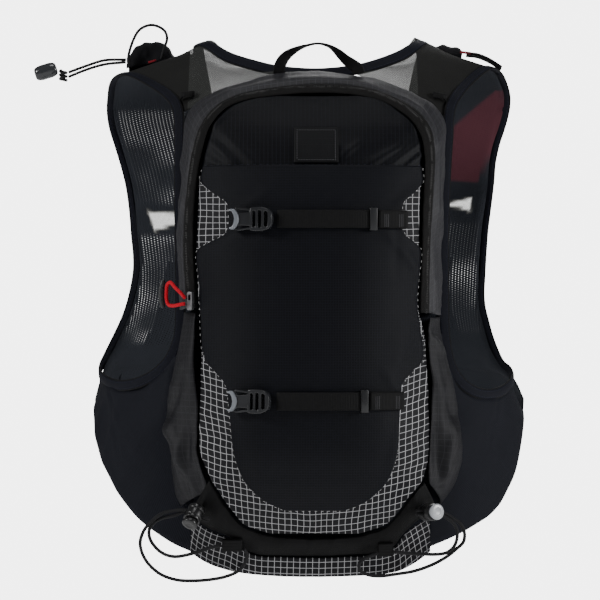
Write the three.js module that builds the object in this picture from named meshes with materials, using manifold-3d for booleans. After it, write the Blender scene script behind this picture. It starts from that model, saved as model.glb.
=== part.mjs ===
// A running hydration vest, as it sits on a wearer. Millimetres, +Z up. The pack faces -Y,
// the wearer faces +Y, and the origin is at the middle of the shoulders that it hangs on.
import * as THREE from 'three';
import { mergeVertices } from 'three/addons/utils/BufferGeometryUtils.js';
import Module from 'manifold-3d';

const wasm = await Module();
wasm.setup();

const V = (x, y, z) => new THREE.Vector3(x, y, z);

// Driving sizes
const CLOTH = 1.5; // thickness of the mesh and ripstop sheets
const STRETCH = 1.8; // thickness of the stretch cloth
const GAP = 0.35; // clearance between pieces
const EDGE = CLOTH / 2 + GAP; // how far a sheet stops short of a corner that it shares
const HEM_Z = -423; // the lowest edge of the back
const BODY_POWER = 2.4; // how square the wearer's oval is
const BINDING = { width: 8.6, thick: 3 };
const COLLAR = { width: 12.5, thick: 3.2 };
const WEB = { width: 14.5, thick: 1.5 }; // the straps' webbing
const SHOCK_CORD = 2.5; // diameter of the bottom cord
const THIN_CORD = 2.2; // diameter of the toggle's elastic
const PULL_CORD = 2.6; // diameter of the zip pull's cord
const BUCKLE = { long: 36, thick: 9, stand: 1.3 }; // stand: of the plug off the pocket
const LOCK = { radius: 7, long: 14, floor: 2, bore: 5.3, stem: 4.95, cap: 6.6, travel: 2.5, cordAt: -6.25 };

// Colours of the materials
const NAVY = 0x14172a;
const BLACK = 0x0d0d0f;
const CHARCOAL = 0x3a3a3f;
const KNIT = 0x1f2126;
const SHEER = 0x2a2b2a;
const RIPSTOP = 0x101118;
const PLASTIC = 0x34363a;
const METAL = 0x77797d;
const RED = 0x8e1424;
const ZIP_GREY = 0x232222;
const FACE_BLACK = 0x18181d;
const POCKET_NAVY = 0x0a0b14;
const WING_NAVY = 0x191b22;
const BUTTON_GREY = 0x6a6d72;
const CORD_BLACK = 0x1d1e21;

const part = new THREE.Group();
const add = (name, geometry, color, roughness = 0.85, metalness = 0) => {
  const mesh = new THREE.Mesh(geometry, new THREE.MeshStandardMaterial({ color, roughness, metalness }));
  mesh.name = name;
  part.add(mesh);
  return mesh;
};

// Value of a table's column at a given key, straight between the rows. Rows run one way.
function lookUp(rows, key, column) {
  const up = rows[rows.length - 1][0] > rows[0][0];
  for (let i = 1; i < rows.length; i++) {
    const [a, b] = [rows[i - 1], rows[i]];
    if (up ? key <= b[0] : key >= b[0]) {
      const f = THREE.MathUtils.clamp((key - a[0]) / (b[0] - a[0]), 0, 1);
      return a[column] + (b[column] - a[column]) * f;
    }
  }
  return rows[rows.length - 1][column];
}

// The same, along a smooth curve through the rows
function smoothColumn(rows, column) {
  const curve = new THREE.CatmullRomCurve3(rows.map((r) => V(r[0], r[column], 0)), false, 'centripetal');
  const fine = curve.getPoints(rows.length * 6).map((p) => [p.x, p.y]);
  return (key) => lookUp(fine, key, 1);
}

const smooth = (points, closed = false) => new THREE.CatmullRomCurve3(points, closed, 'centripetal');

// The wearer's oval at each height: half breadth, then how far the back and the chest reach
const BODY = [
  // z, half breadth, back, chest
  [20, 170, 50, 60],
  [-8, 176, 74, 80],
  [-25, 178, 84, 92],
  [-40, 180, 89, 98],
  [-70, 181, 98, 104],
  [-110, 182, 103, 108],
  [-160, 183, 105, 110],
  [-210, 184, 105, 110],
  [-290, 184, 104, 108],
  [-340, 182, 104, 106],
  [-430, 178, 105, 104],
];
const bodyHalf = smoothColumn(BODY, 1);
const bodyBack = smoothColumn(BODY, 2);
const bodyChest = smoothColumn(BODY, 3);
const oval = (u) => Math.pow(Math.max(0, 1 - Math.pow(Math.abs(u), BODY_POWER)), 1 / BODY_POWER);
const backY = (x, z) => -bodyBack(z) * oval(x / bodyHalf(z));
const chestY = (x, z) => bodyChest(z) * oval(x / bodyHalf(z));

// Point of the wearer's oval at an angle from the middle of the back, towards +X
function onBody(angle, z) {
  const [s, c] = [Math.sin(angle), Math.cos(angle)];
  const deep = c > 0 ? bodyBack(z) : bodyChest(z);
  const bend = (v) => Math.sign(v) * Math.pow(Math.abs(v), 2 / BODY_POWER);
  return V(bodyHalf(z) * bend(s), -deep * bend(c), z);
}
function angleOf(p) {
  const deep = p.y < 0 ? bodyBack(p.z) : bodyChest(p.z);
  const unbend = (v) => Math.sign(v) * Math.pow(Math.abs(v), BODY_POWER / 2);
  return Math.atan2(unbend(p.x / bodyHalf(p.z)), unbend(-p.y / deep));
}

// Outward direction of the wearer's surface, turning up towards the shoulders
function bodyNormal(p) {
  const rise = Math.max(0, p.z + 90) / 6400;
  return V(p.x / 32400, p.y / 10000, rise).normalize();
}

// Closed solid from a grid of middle points, thickened by half the thickness to each side.
// thick is a number or a function of the row and column. closed joins the last row to the first.
function slab(grid, thick, closed = false) {
  const [rows, cols] = [grid.length, grid[0].length];
  const t = typeof thick === 'function' ? thick : () => thick;
  const at = (i, j) => grid[closed ? (i + rows) % rows : THREE.MathUtils.clamp(i, 0, rows - 1)][
    THREE.MathUtils.clamp(j, 0, cols - 1)];
  const flat = [];
  for (const side of [0.5, -0.5]) {
    for (let i = 0; i < rows; i++) {
      for (let j = 0; j < cols; j++) {
        const along = at(i + 1, j).clone().sub(at(i - 1, j));
        const across = at(i, j + 1).clone().sub(at(i, j - 1));
        const n = along.cross(across).normalize();
        const p = grid[i][j].clone().addScaledVector(n, side * t(i, j));
        flat.push(p.x, p.y, p.z);
      }
    }
  }
  const id = (s, i, j) => s * rows * cols + (i % rows) * cols + j;
  const faces = [];
  const quad = (a, b, c, d) => faces.push(a, b, c, a, c, d);
  const spans = closed ? rows : rows - 1;
  for (let i = 0; i < spans; i++) {
    for (let j = 0; j < cols - 1; j++) {
      quad(id(0, i, j), id(0, i + 1, j), id(0, i + 1, j + 1), id(0, i, j + 1));
      quad(id(1, i, j), id(1, i, j + 1), id(1, i + 1, j + 1), id(1, i + 1, j));
    }
    quad(id(0, i, 0), id(1, i, 0), id(1, i + 1, 0), id(0, i + 1, 0));
    quad(id(0, i, cols - 1), id(0, i + 1, cols - 1), id(1, i + 1, cols - 1), id(1, i, cols - 1));
  }
  if (!closed) {
    for (let j = 0; j < cols - 1; j++) {
      quad(id(0, 0, j), id(0, 0, j + 1), id(1, 0, j + 1), id(1, 0, j));
      quad(id(0, rows - 1, j), id(1, rows - 1, j), id(1, rows - 1, j + 1), id(0, rows - 1, j + 1));
    }
  }
  return outward(flat, faces);
}

// Geometry with its faces turned outwards, whichever way the grid ran
function outward(flat, faces) {
  let volume = 0;
  const p = (k) => V(flat[3 * k], flat[3 * k + 1], flat[3 * k + 2]);
  for (let k = 0; k < faces.length; k += 3) {
    volume += p(faces[k]).dot(p(faces[k + 1]).cross(p(faces[k + 2])));
  }
  if (volume < 0) {
    for (let k = 0; k < faces.length; k += 3) {
      [faces[k + 1], faces[k + 2]] = [faces[k + 2], faces[k + 1]];
    }
  }
  const geometry = new THREE.BufferGeometry();
  geometry.setAttribute('position', new THREE.Float32BufferAttribute(flat, 3));
  geometry.setIndex(faces);
  return geometry;
}

// The grid with its border points moved inwards, along the surface
function inset(grid, { first = 0, last = 0, left = 0, right = 0 }) {
  const step = (a, b, d) => a.clone().addScaledVector(b.clone().sub(a).normalize(), d);
  const out = grid.map((row) => row.slice());
  const n = out.length - 1;
  const m = out[0].length - 1;
  for (const row of out) {
    row[0] = step(row[0], row[1], left);
    row[m] = step(row[m], row[m - 1], right);
  }
  out[0] = out[0].map((p, j) => step(p, out[1][j], first));
  out[n] = out[n].map((p, j) => step(p, out[n - 1][j], last));
  return out;
}

// Grid between two edge curves: place(a, b, f, k) gives the point at fraction f of row k
function between(left, right, cols, place = (a, b, f) => a.clone().lerp(b, f)) {
  return left.map((a, k) => Array.from({ length: cols }, (_, j) => place(a, right[k], j / (cols - 1), k)));
}

// Round cord along a list of points
function cord(points, diameter, sides = 8, steps = 0, closed = false) {
  const path = smooth(points, closed);
  const count = steps || Math.min(80, Math.max(4, Math.round(path.getLength() / (3 * diameter))));
  const section = new THREE.Shape(
    Array.from({ length: sides }, (_, k) => {
      const a = (2 * Math.PI * k) / sides;
      return new THREE.Vector2((Math.cos(a) * diameter) / 2, (Math.sin(a) * diameter) / 2);
    }),
  );
  return new THREE.ExtrudeGeometry(section, { steps: count, extrudePath: path, bevelEnabled: false });
}

// Flat strip along a path of rows { at, across, width, thick }, with a lens-shaped section
function strip(rows, closed = false, columns = 3) {
  const grid = rows.map(({ at, across, width }) =>
    Array.from({ length: columns }, (_, j) => at.clone().addScaledVector(across, width * (j / (columns - 1) - 0.5))));
  const middle = (columns - 1) / 2;
  return slab(grid, (i, j) => rows[i].thick * (columns > 2 && j !== middle ? 0.6 : 1), closed);
}

const solidOf = (geometry) => {
  const bare = geometry.clone();
  for (const name of Object.keys(bare.attributes)) {
    if (name !== 'position') bare.deleteAttribute(name);
  }
  const merged = mergeVertices(bare, 1e-4);
  return new wasm.Manifold(new wasm.Mesh({
    numProp: 3,
    vertProperties: new Float32Array(merged.attributes.position.array),
    triVerts: new Uint32Array(merged.index.array),
  }));
};
const geometryOf = (solid) => {
  const { vertProperties, triVerts } = solid.getMesh();
  const geometry = new THREE.BufferGeometry();
  geometry.setAttribute('position', new THREE.Float32BufferAttribute(vertProperties, 3));
  geometry.setIndex(Array.from(triVerts));
  return geometry;
};
const box = (w, d, h, x = 0, y = 0, z = 0) => new THREE.BoxGeometry(w, d, h).translate(x, y, z);

// The edge loop of each armhole: up over the shoulder, down the back, round under the arm, up the front
const ARMHOLE_LEFT = [
  // x, y, z
  [-160, 2, -3.5], [-150, -10, -5], [-143, -18, -8], [-127, -40, -18], [-116, -62, -27],
  [-108.5, -77, -39], [-107, -85, -62], [-106.8, -89.5, -100], [-106, -92, -150], [-106, -92, -197],
  [-106.5, -91, -222], [-111, -88.5, -238], [-118, -85, -249.5], [-129.5, -76, -259.5],
  [-145, -61, -266.5], [-161.5, -39, -268.5], [-174, -16, -264], [-179, 4, -258],
  [-176, 24, -249], [-168, 44, -232], [-160.5, 59, -215], [-155.5, 69, -199], [-152, 76, -182],
  [-150.5, 81, -165], [-152.5, 85, -140], [-154.5, 85, -115], [-158, 82, -92], [-164.5, 76, -66],
  [-170, 67, -47], [-172, 56, -32], [-170.5, 42, -20], [-167, 22, -9],
];
const ARMHOLE_RIGHT = [
  [158, 2, 1], [152, -8, 1], [144, -19, -4], [132, -38, -15], [122.5, -60, -27],
  [116.5, -75, -40], [115, -83, -62], [112.8, -88.5, -95], [111, -91, -145], [110.8, -91.5, -197],
  [111.5, -90.5, -225], [115, -87.5, -245], [121, -83.5, -259], [132, -75, -270],
  [147, -59, -275.5], [161, -38, -274], [172, -15, -267], [174, 4, -260],
  [166.5, 26, -252], [159, 46, -234], [154.5, 60, -217], [151, 70, -199], [151.5, 78, -180],
  [153, 83, -158], [155, 86, -135], [157.5, 86, -115], [160, 82, -92], [162, 76, -68],
  [168, 66, -46], [171.5, 55, -30], [171, 42, -18], [164.5, 20, -4],
];
const LOOP_STEPS = 48;
const LOOP_ROWS = ARMHOLE_LEFT.length;

// Rows of an armhole's binding, with the direction towards the cloth that it edges
function armholeRows(table) {
  const curve = smooth(table.map((r) => V(...r)), true);
  const rows = [];
  for (let i = 0; i < LOOP_STEPS; i++) {
    const f = i / LOOP_STEPS;
    const at = curve.getPoint(f);
    const tangent = curve.getTangent(f);
    const toCloth = tangent.clone().cross(bodyNormal(at)).normalize().multiplyScalar(table === ARMHOLE_LEFT ? -1 : 1);
    rows.push({ at, across: toCloth, width: BINDING.width, thick: BINDING.thick });
  }
  return rows;
}
const LOOPS = { left: armholeRows(ARMHOLE_LEFT), right: armholeRows(ARMHOLE_RIGHT) };

// Point where the cloth meets an armhole's binding, at a row of the tables above
function clothEdge(side, row) {
  const i = (row * LOOP_STEPS) / LOOP_ROWS;
  const rows = LOOPS[side];
  const [a, b] = [rows[Math.floor(i) % LOOP_STEPS], rows[Math.ceil(i) % LOOP_STEPS]];
  const f = i - Math.floor(i);
  const edge = (r) => r.at.clone().addScaledVector(r.across, BINDING.width / 2 + GAP);
  return edge(a).lerp(edge(b), f);
}

for (const side of ['left', 'right']) {
  add(`armhole_binding_${side}`, strip(LOOPS[side], true), NAVY, 0.7);
}

// Collar: a soft edge round the back of the neck, over both shoulders and down both fronts
const NECK = [
  // x, y, z
  [-56, 106, -300], [-57, 107, -240], [-60, 107, -180], [-66, 105, -130], [-75, 98, -85], [-84, 80, -45],
  [-90, 54, -14], [-94, 26, 6], [-94, 2, 16], [-86, -18, 14.5], [-74, -35, 9], [-58, -51, 3],
  [-40, -63, -3], [-22, -70, -7], [6, -73, -9], [34, -70, -6.5], [52, -62, -2], [68, -51, 4],
  [82, -36, 10], [92, -18, 15], [98, 2, 18], [98, 26, 8], [93, 54, -12], [86, 80, -43],
  [77, 98, -83], [67, 105, -130], [61, 107, -180], [57, 107, -240], [56, 106, -300],
];
const neckCurve = smooth(NECK.map((r) => V(...r)));
const NECK_SHARE = 0.62; // how far the collar tips up from the wearer's surface
function collarRows(count) {
  return Array.from({ length: count + 1 }, (_, i) => {
    const f = i / count;
    const at = neckCurve.getPoint(f);
    const tangent = neckCurve.getTangent(f);
    const up = tangent.clone().cross(bodyNormal(at)).normalize().negate();
    const behind = Math.max(0, Math.min(1, (-at.y + 10) / 50));
    const across = up.lerp(V(0, 0, 1), behind * NECK_SHARE);
    across.addScaledVector(tangent, -across.dot(tangent)).normalize();
    return { at, across, width: COLLAR.width * (0.7 + 0.3 * behind), thick: COLLAR.thick };
  });
}
const COLLAR_STEPS = 42;
const collar = collarRows(COLLAR_STEPS);
add('collar_binding', strip(collar), NAVY, 0.75);
// Point where the cloth meets the collar, at a row of the neck's table
function neckEdge(row) {
  const i = THREE.MathUtils.clamp((row / (NECK.length - 1)) * COLLAR_STEPS, 0, COLLAR_STEPS);
  const [a, b] = [collar[Math.floor(i)], collar[Math.ceil(i)]];
  const edge = (r) => r.at.clone().addScaledVector(r.across, -r.width / 2 - GAP);
  return edge(a).lerp(edge(b), i - Math.floor(i));
}

// The arched pack: where its wall meets the back, the zip's outer edge and the face's edge
const ARCH = [
  // base x, base z, zip x, zip y, zip z, face x, face y, face z
  [-101.5, -203, -98, -132, -203, -90.2, -143, -203],
  [-101.8, -156, -101, -135, -156, -92.7, -146, -157],
  [-101.8, -112, -98.5, -138, -112, -91, -148, -112],
  [-101, -76, -93.8, -138, -78, -86, -147, -79],
  [-97, -43, -86.6, -134, -55, -78, -142, -54.5],
  [-80, -31, -70.7, -126, -37, -61.6, -135, -39],
  [-36, -15, -37.5, -118, -26, -30, -129, -32],
  [8, -10, 8, -115, -21.7, 8, -127, -29.5],
  [47, -15.5, 48, -118, -25, 41, -128, -32],
  [88, -31, 78.6, -126, -38, 71, -135, -43.5],
  [108, -48, 97, -134, -57, 88, -142, -61],
  [109, -78, 100.7, -138, -78, 92.5, -147, -84],
  [106.5, -112, 99, -140, -115, 91, -149, -115],
  [105.5, -156, 96.7, -138, -156, 89.8, -150, -156],
  [105, -207, 96, -134, -207, 88.4, -145, -207],
];
const ARCH_STEPS = 26;
function archCurve(pick) {
  return smooth(ARCH.map(pick)).getPoints(ARCH_STEPS);
}
const WALL_FOOT = CLOTH + GAP + 0.1; // the wall's foot stands this far off the back panel's middle
const archBase = archCurve((r) => V(r[0], backY(r[0], r[1]) - WALL_FOOT, r[1]));
const archZip = archCurve((r) => V(r[2], r[3], r[4]));
const archFace = archCurve((r) => V(r[5], r[6], r[7]));

const WALL_SWELL = 4;
const wall = between(archBase, archZip, 4, (a, b, f, k) => {
  const p = a.clone().lerp(b, f);
  const out = V(p.x - 3, 0, p.z + 150).normalize();
  return p.addScaledVector(out, WALL_SWELL * Math.sin(Math.PI * f));
});
add('pack_gusset', slab(inset(wall, { right: EDGE }), CLOTH), CHARCOAL);
const zipStrip = between(archZip, archFace, 3, (a, b, f) => a.clone().lerp(b, f).add(V(0, -Math.sin(Math.PI * f), 0)));
add('zip_track', slab(inset(zipStrip, { right: 0.35 }), CLOTH), ZIP_GREY, 0.6);

// The pack's face: how far it stands out along its middle and near its sides at each height
const FACE = [
  // z, middle, side
  [-20, 119, 112], [-29, 127, 119], [-38, 136, 127], [-54, 148, 137], [-79, 160, 144],
  [-112, 170.5, 147.5], [-150, 175.5, 149], [-203, 178, 143], [-263, 176, 140], [-320, 169, 137],
  [-341, 159, 130], [-357, 149, 125], [-378, 134, 118], [-390, 124, 113], [-405, 114, 108], [-423, 108, 104],
];
const faceMiddle = smoothColumn(FACE, 1);
const faceSide = smoothColumn(FACE, 2);
const FACE_HALF = 90;
const FACE_POWER = 3;
const faceY = (x, z) => {
  const u = Math.min(1.15, Math.abs((x - 2) / FACE_HALF));
  return -(faceMiddle(z) - (faceMiddle(z) - faceSide(z)) * Math.pow(u, FACE_POWER));
};

// Sheet lying on the face: rows of z, left edge and right edge, standing off by lift(x, z)
function faceGrid(rows, cols, lift = () => 0) {
  return rows.map(([z, left, right]) => Array.from({ length: cols }, (_, j) => {
    const x = left + ((right - left) * j) / (cols - 1);
    return V(x, faceY(x, z) - lift(x, z), z);
  }));
}

const TOP_PANEL = [
  // z, left, right
  [-31, -26, 38], [-34, -44, 52], [-38.5, -59, 64], [-44.5, -68, 73], [-54.5, -77, 83], [-61, -79.5, 87],
  [-70, -82.5, 89.5], [-79, -84.8, 91], [-88, -86.5, 91.5], [-97, -88, 91.4],
];
add('top_panel', slab(inset(faceGrid(TOP_PANEL, 9), { left: EDGE, right: EDGE, first: 0.4 }), CLOTH), RIPSTOP, 0.5);

const PACK_FRONT = [
  [-98, -89.5, 90.6], [-112, -89.8, 90], [-135, -90.5, 89], [-157, -91.4, 88.8], [-180, -90.5, 88.2], [-203, -89, 87.6],
  [-225, -86.5, 93], [-264, -88, 96], [-290, -88.4, 96.8], [-319, -88.2, 96.6], [-341, -79.6, 92.5], [-357, -70, 80],
  [-370, -60.5, 71], [-379, -52.5, 61.5], [-386, -33, 42],
];
add('pack_front', slab(inset(faceGrid(PACK_FRONT, 9), { left: EDGE, right: EDGE, last: 0.2 }), CLOTH), FACE_BLACK);

// The stretch pocket over the face, notched at both sides under its hem
const POCKET = [
  // z, left, right
  [-89, -85.5, 90.6], [-93, -86, 90.8], [-102, -86.9, 91.2], [-112, -76.5, 83], [-121, -65.2, 74.5], [-142, -66, 75],
  [-150, -79, 83.5], [-158, -90, 89.5], [-180, -88.6, 87.4], [-203, -87.6, 86.6], [-241, -85, 92.6], [-254, -75.5, 83],
  [-266, -66.2, 73.6], [-288, -63.4, 71.8], [-318, -60.3, 70.3], [-340, -53.2, 63.5], [-352, -43.5, 53.5],
  [-360, -33, 43], [-366, -19, 28],
];
const POCKET_RISE = 1.6;
const POCKET_SWELL = 1.3;
const pocketLift = (x, z) => {
  const up = Math.max(0, Math.sin((Math.PI * (z + 366)) / (366 - 89)));
  const mid = Math.max(0, 1 - Math.pow((x - 3) / 92, 2));
  return CLOTH / 2 + STRETCH / 2 + 2 * GAP + (POCKET_RISE + POCKET_SWELL * up) * mid;
};
const pocketY = (x, z) => faceY(x, z) - pocketLift(x, z);
add('stretch_pocket', slab(faceGrid(POCKET, 10, pocketLift), STRETCH), POCKET_NAVY, 0.6);

// The bare square stitched to the top panel
const PATCH = { left: -12.2, right: 23.3, top: -58.5, bottom: -87.2, thick: 1 };
const patchRows = [0, 0.33, 0.67, 1].map((f) => [PATCH.top + (PATCH.bottom - PATCH.top) * f, PATCH.left, PATCH.right]);
const PATCH_LIFT = CLOTH / 2 + PATCH.thick / 2 + GAP;
add('front_patch', slab(faceGrid(patchRows, 5, () => PATCH_LIFT), PATCH.thick), FACE_BLACK);

// The casing that gathers the bottom of the pack, between its upper and lower edges
const CASING = [
  // upper x, upper z, lower x, lower z
  [-80.5, -342, -96, -369], [-71, -358, -88, -380], [-53.5, -380, -66, -389.5], [-33, -387.4, -49, -402.5],
  [-14, -389.8, -22, -405], [7, -390.6, 7, -406], [28, -389.4, 34, -405], [43, -387.2, 58, -402.5],
  [62.5, -380, 70, -397], [80.5, -358, 79, -384], [93, -344, 103, -366],
];
const casingUpper = smooth(CASING.map((r) => V(r[0], 0, r[1]))).getPoints(15);
const casingLower = smooth(CASING.map((r) => V(r[2], 0, r[3]))).getPoints(15);
const CASING_SWELL = 2.5;
const onFace = (p, lift = 0) => V(p.x, faceY(p.x, p.z) - lift, p.z);
const casing = between(casingUpper, casingLower, 4, (a, b, f) =>
  onFace(a.clone().lerp(b, f), CASING_SWELL * Math.sin(Math.PI * f)));
add('hem_casing', slab(inset(casing, { left: 0.4, right: 0.4 }), CLOTH), RIPSTOP);

// The grid cloth below the casing, down to the lowest edge
const HEM_GRID = [
  // upper x, upper z, lower x, lower z
  [-95.6, -372, -97, -403], [-88, -381, -84, -411.5], [-66, -390.5, -66, -417.5], [-49, -403.5, -50, -420.5],
  [-22, -406, -24, -422.5], [7, -407, 7, HEM_Z], [34, -406, 34, -422.5], [58, -403.5, 60, -420.8],
  [70, -398, 74, -418], [79.5, -385, 88, -410.5], [98, -374, 99, -402],
];
const hemUpper = smooth(HEM_GRID.map((r) => V(r[0], 0, r[1]))).getPoints(15);
const hemLower = smooth(HEM_GRID.map((r) => V(r[2], 0, r[3]))).getPoints(15);
const hemGrid = between(hemUpper, hemLower, 4, (a, b, f) => onFace(a.clone().lerp(b, f)));
add('hem_grid', slab(inset(hemGrid, { left: 0.25 }), CLOTH), RIPSTOP);

// The mesh sheet against the wearer's back
const BACK_SIDE = [
  // z, left, right
  [-222, -100.5, 105.5], [-250, -99, 103], [-300, -98, 101], [-350, -97, 99.5], [-400, -95, 97], [-419, -58, 66],
];
const packTop = (x) => lookUp(ARCH.slice(4, 11), x, 1);
const TOP_SEAM = 1.5; // the back panel's top edge lies this far above the wall's foot
function backPanel() {
  const rows = [];
  const edges = [5.35, 6, 7, 8, 9, 9.7].map((row) => [clothEdge('left', row), clothEdge('right', row)]);
  const count = 8;
  for (const [l, r] of edges) {
    rows.push(Array.from({ length: count }, (_, j) => {
      const x = l.x + ((r.x - l.x) * j) / (count - 1);
      const straight = l.z + ((r.z - l.z) * j) / (count - 1);
      const lift = THREE.MathUtils.clamp((straight + 100) / 60, 0, 1);
      const z = straight + (packTop(x) + TOP_SEAM - straight) * lift;
      return V(x, backY(x, z), z);
    }));
  }
  for (const [z, left, right] of BACK_SIDE) {
    rows.push(Array.from({ length: count }, (_, j) => {
      const x = left + ((right - left) * j) / (count - 1);
      return V(x, backY(x, z), z);
    }));
  }
  return rows;
}
add('back_panel', slab(inset(backPanel(), { left: 0.4, right: 0.4 }), CLOTH), KNIT);

// Sheer yokes, from the shoulder ridge down to the pack, between the armhole and the neck
const YOKE_ROWS = [
  // row of the armhole's table, row of the neck's table counted from the shoulder
  [0, 0], [0.8, 0.75], [1.7, 1.5], [2.6, 2.2], [3.5, 2.9], [4.3, 3.6], [4.95, 4.25],
];
const YOKE_SWELL = 3;
const YOKE_COLUMNS = 6;
const YOKE_SEAM = 1.2; // gap between the yoke's lower edge and the back panel
const YOKE_TUCK = 1.8; // how far its lower corner draws in from the armhole
const SHOULDER_ROW = { left: 8, right: 20 }; // the shoulders in the neck's table
const yokes = {};
for (const side of Object.keys(LOOPS)) {
  const inwards = side === 'left' ? 1 : -1;
  const last = YOKE_ROWS.length - 1;
  const arm = YOKE_ROWS.map(([row]) => clothEdge(side, row));
  const neck = YOKE_ROWS.map(([, row]) => neckEdge(SHOULDER_ROW[side] + inwards * row));
  const grid = between(arm, neck, YOKE_COLUMNS, (a, b, f, k) => {
    const p = a.clone().lerp(b, f);
    const edgeShare = Math.sin(Math.PI * f);
    p.addScaledVector(bodyNormal(p), YOKE_SWELL * edgeShare * Math.sin((Math.PI * (k + 0.3)) / (last + 0.6)));
    if (k === last) {
      p.x += inwards * YOKE_TUCK * (1 - f);
      p.z = packTop(p.x) + TOP_SEAM + YOKE_SEAM;
      p.y = backY(p.x, p.z) - 0.2;
    }
    return p;
  });
  yokes[side] = grid;
  add(`yoke_${side}`, slab(inset(grid, { first: 0.4, left: 0.8, right: 0.7 }), CLOTH), SHEER);
}

// Fronts, seen from inside through the armholes: from the ridge down to the front hem
const FRONT_ROWS = [
  // row of the armhole's table, row of the neck's table counted from the shoulder
  [32, 0], [31, 0.8], [30, 1.4], [29, 2], [28, 2.7], [27, 3.3], [26, 4], [25, 4.6], [24, 5.1], [23, 5.6],
  [22, 6], [21, 6.3], [20, 6.6], [19, 6.9], [18, 7.15], [17.1, 7.25],
];
const FRONT_LOW = [[-278, 7.62], [-300, 7.98]]; // height and neck row of the rows under the armhole
const FRONT_COLUMNS = 5;
const SIDE_SEAM = 1.62; // angle from the middle of the back where front and wing meet
const fronts = {};
for (const [side, shoulder] of Object.entries(SHOULDER_ROW)) {
  const sign = side === 'left' ? -1 : 1;
  const arm = FRONT_ROWS.map(([row]) => clothEdge(side, row));
  const centre = FRONT_ROWS.map(([, row]) => neckEdge(shoulder + sign * row));
  const grid = between(arm, centre, FRONT_COLUMNS, (a, b, f) => {
    const z = THREE.MathUtils.lerp(a.z, b.z, f);
    const p = onBody(THREE.MathUtils.lerp(angleOf(a), angleOf(b), f), z);
    const slipA = a.clone().sub(onBody(angleOf(a), a.z));
    const slipB = b.clone().sub(onBody(angleOf(b), b.z));
    return p.addScaledVector(slipA, 1 - f).addScaledVector(slipB, f);
  });
  for (const [z, row] of FRONT_LOW) {
    const inner = neckEdge(shoulder + sign * row);
    const to = angleOf(V(inner.x, chestY(inner.x, z), z));
    grid.push(Array.from({ length: FRONT_COLUMNS }, (_, j) =>
      onBody(THREE.MathUtils.lerp(sign * (SIDE_SEAM + 0.004), to, j / (FRONT_COLUMNS - 1)), z)));
  }
  fronts[side] = grid;
  add(`front_panel_${side}`, slab(inset(grid, { first: 0.4, left: 1.9, right: 0.4 }), CLOTH), KNIT);
}

// Side wings: from the back panel's edge, round under the arm, to the front
const HEM_BY_ANGLE = {
  // degrees from the middle of the back, height of the lower edge
  left: [[24, -405], [30, -402.5], [38, -392], [46, -381], [55, -364], [64, -345], [72, -327], [80, -306], [88, -290], [95, -284]],
  right: [[24, -405], [30, -399], [38, -391], [46, -382], [55, -372], [64, -354], [72, -336], [80, -316], [88, -298], [95, -290]],
};
const WING_COLUMNS = 12;
const WING_ROWS = 7;
for (const side of ['left', 'right']) {
  const sign = side === 'left' ? -1 : 1;
  const seam = side === 'left' ? 97.2 : 99.2;
  const lower = smoothColumn(HEM_BY_ANGLE[side], 1);
  const grid = [];
  for (let j = 0; j < WING_COLUMNS; j++) {
    const f = j / (WING_COLUMNS - 1);
    const top = clothEdge(side, 10 + 7.05 * f);
    const topAngle = Math.abs(angleOf(top));
    const startLow = Math.abs(angleOf(V(seam, backY(seam, -400), -400)));
    const lowAngle = THREE.MathUtils.lerp(startLow, SIDE_SEAM, f);
    const zLow = lower(THREE.MathUtils.radToDeg(lowAngle));
    grid.push(Array.from({ length: WING_ROWS }, (_, i) => {
      const g = i / (WING_ROWS - 1);
      const z = THREE.MathUtils.lerp(top.z, zLow, g);
      const p = onBody(sign * THREE.MathUtils.lerp(topAngle, lowAngle, g), z);
      const slip = top.clone().sub(onBody(sign * topAngle, top.z)).multiplyScalar(1 - g);
      return p.add(slip);
    }));
  }
  add(`side_wing_${side}`, slab(inset(grid, { first: 0.3, last: 0.5, left: 1.5 }), STRETCH), WING_NAVY, 0.7);
}

// Folded pockets on the pack's lower sides, from the face's edge round to the wings
const SIDE_POCKET = {
  // z, inner x, outer x, outer z, swell
  left: [
    [-207, -91.5, -103.5, -207, 3], [-224, -89.5, -104, -222, 5], [-246, -90, -108.3, -243, 7],
    [-264, -90.2, -112, -262, 9], [-281, -90.2, -118.5, -280, 8], [-291, -90.2, -118.5, -292, 6],
    [-304, -90.2, -115, -306, 8], [-320, -90, -113.5, -322, 8], [-343, -82, -113, -345, 6], [-352, -81.5, -104, -366, 3],
  ],
  right: [
    [-211, 97, 106.5, -211, 3], [-226, 95, 106.5, -226, 4], [-246, 96.5, 112, -249, 6],
    [-264, 98, 118, -266, 8], [-281, 98.4, 122.5, -282, 8], [-291, 98.6, 124, -294, 7],
    [-304, 98.6, 125.5, -306, 8], [-320, 98.4, 126, -322, 8], [-340, 95.5, 122, -345, 6], [-346, 96.5, 108, -366, 3],
  ],
};
const SIDE_POCKET_STEPS = 13;
for (const [side, table] of Object.entries(SIDE_POCKET)) {
  const sign = side === 'left' ? -1 : 1;
  const rows = table.map((r, n) => [n, ...r]);
  const grid = [];
  for (let i = 0; i <= SIDE_POCKET_STEPS; i++) {
    const k = ((table.length - 1) * i) / SIDE_POCKET_STEPS;
    const z = lookUp(rows, k, 1);
    const [xi, xo, zo, swell] = [2, 3, 4, 5].map((c) => lookUp(rows, k, c));
    const a = V(xi, faceY(xi, z) + 1, z);
    const b = V(xo, backY(xo, zo) - 2.15, zo);
    grid.push(Array.from({ length: 6 }, (_, j) => {
      const f = j / 5;
      const p = a.clone().lerp(b, f);
      return p.addScaledVector(V(sign * 0.9, -0.45, 0), swell * Math.sin(Math.PI * f));
    }));
  }
  add(`side_pocket_${side}`, slab(inset(grid, { left: 0.5 }), CLOTH), CHARCOAL);
}


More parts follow.
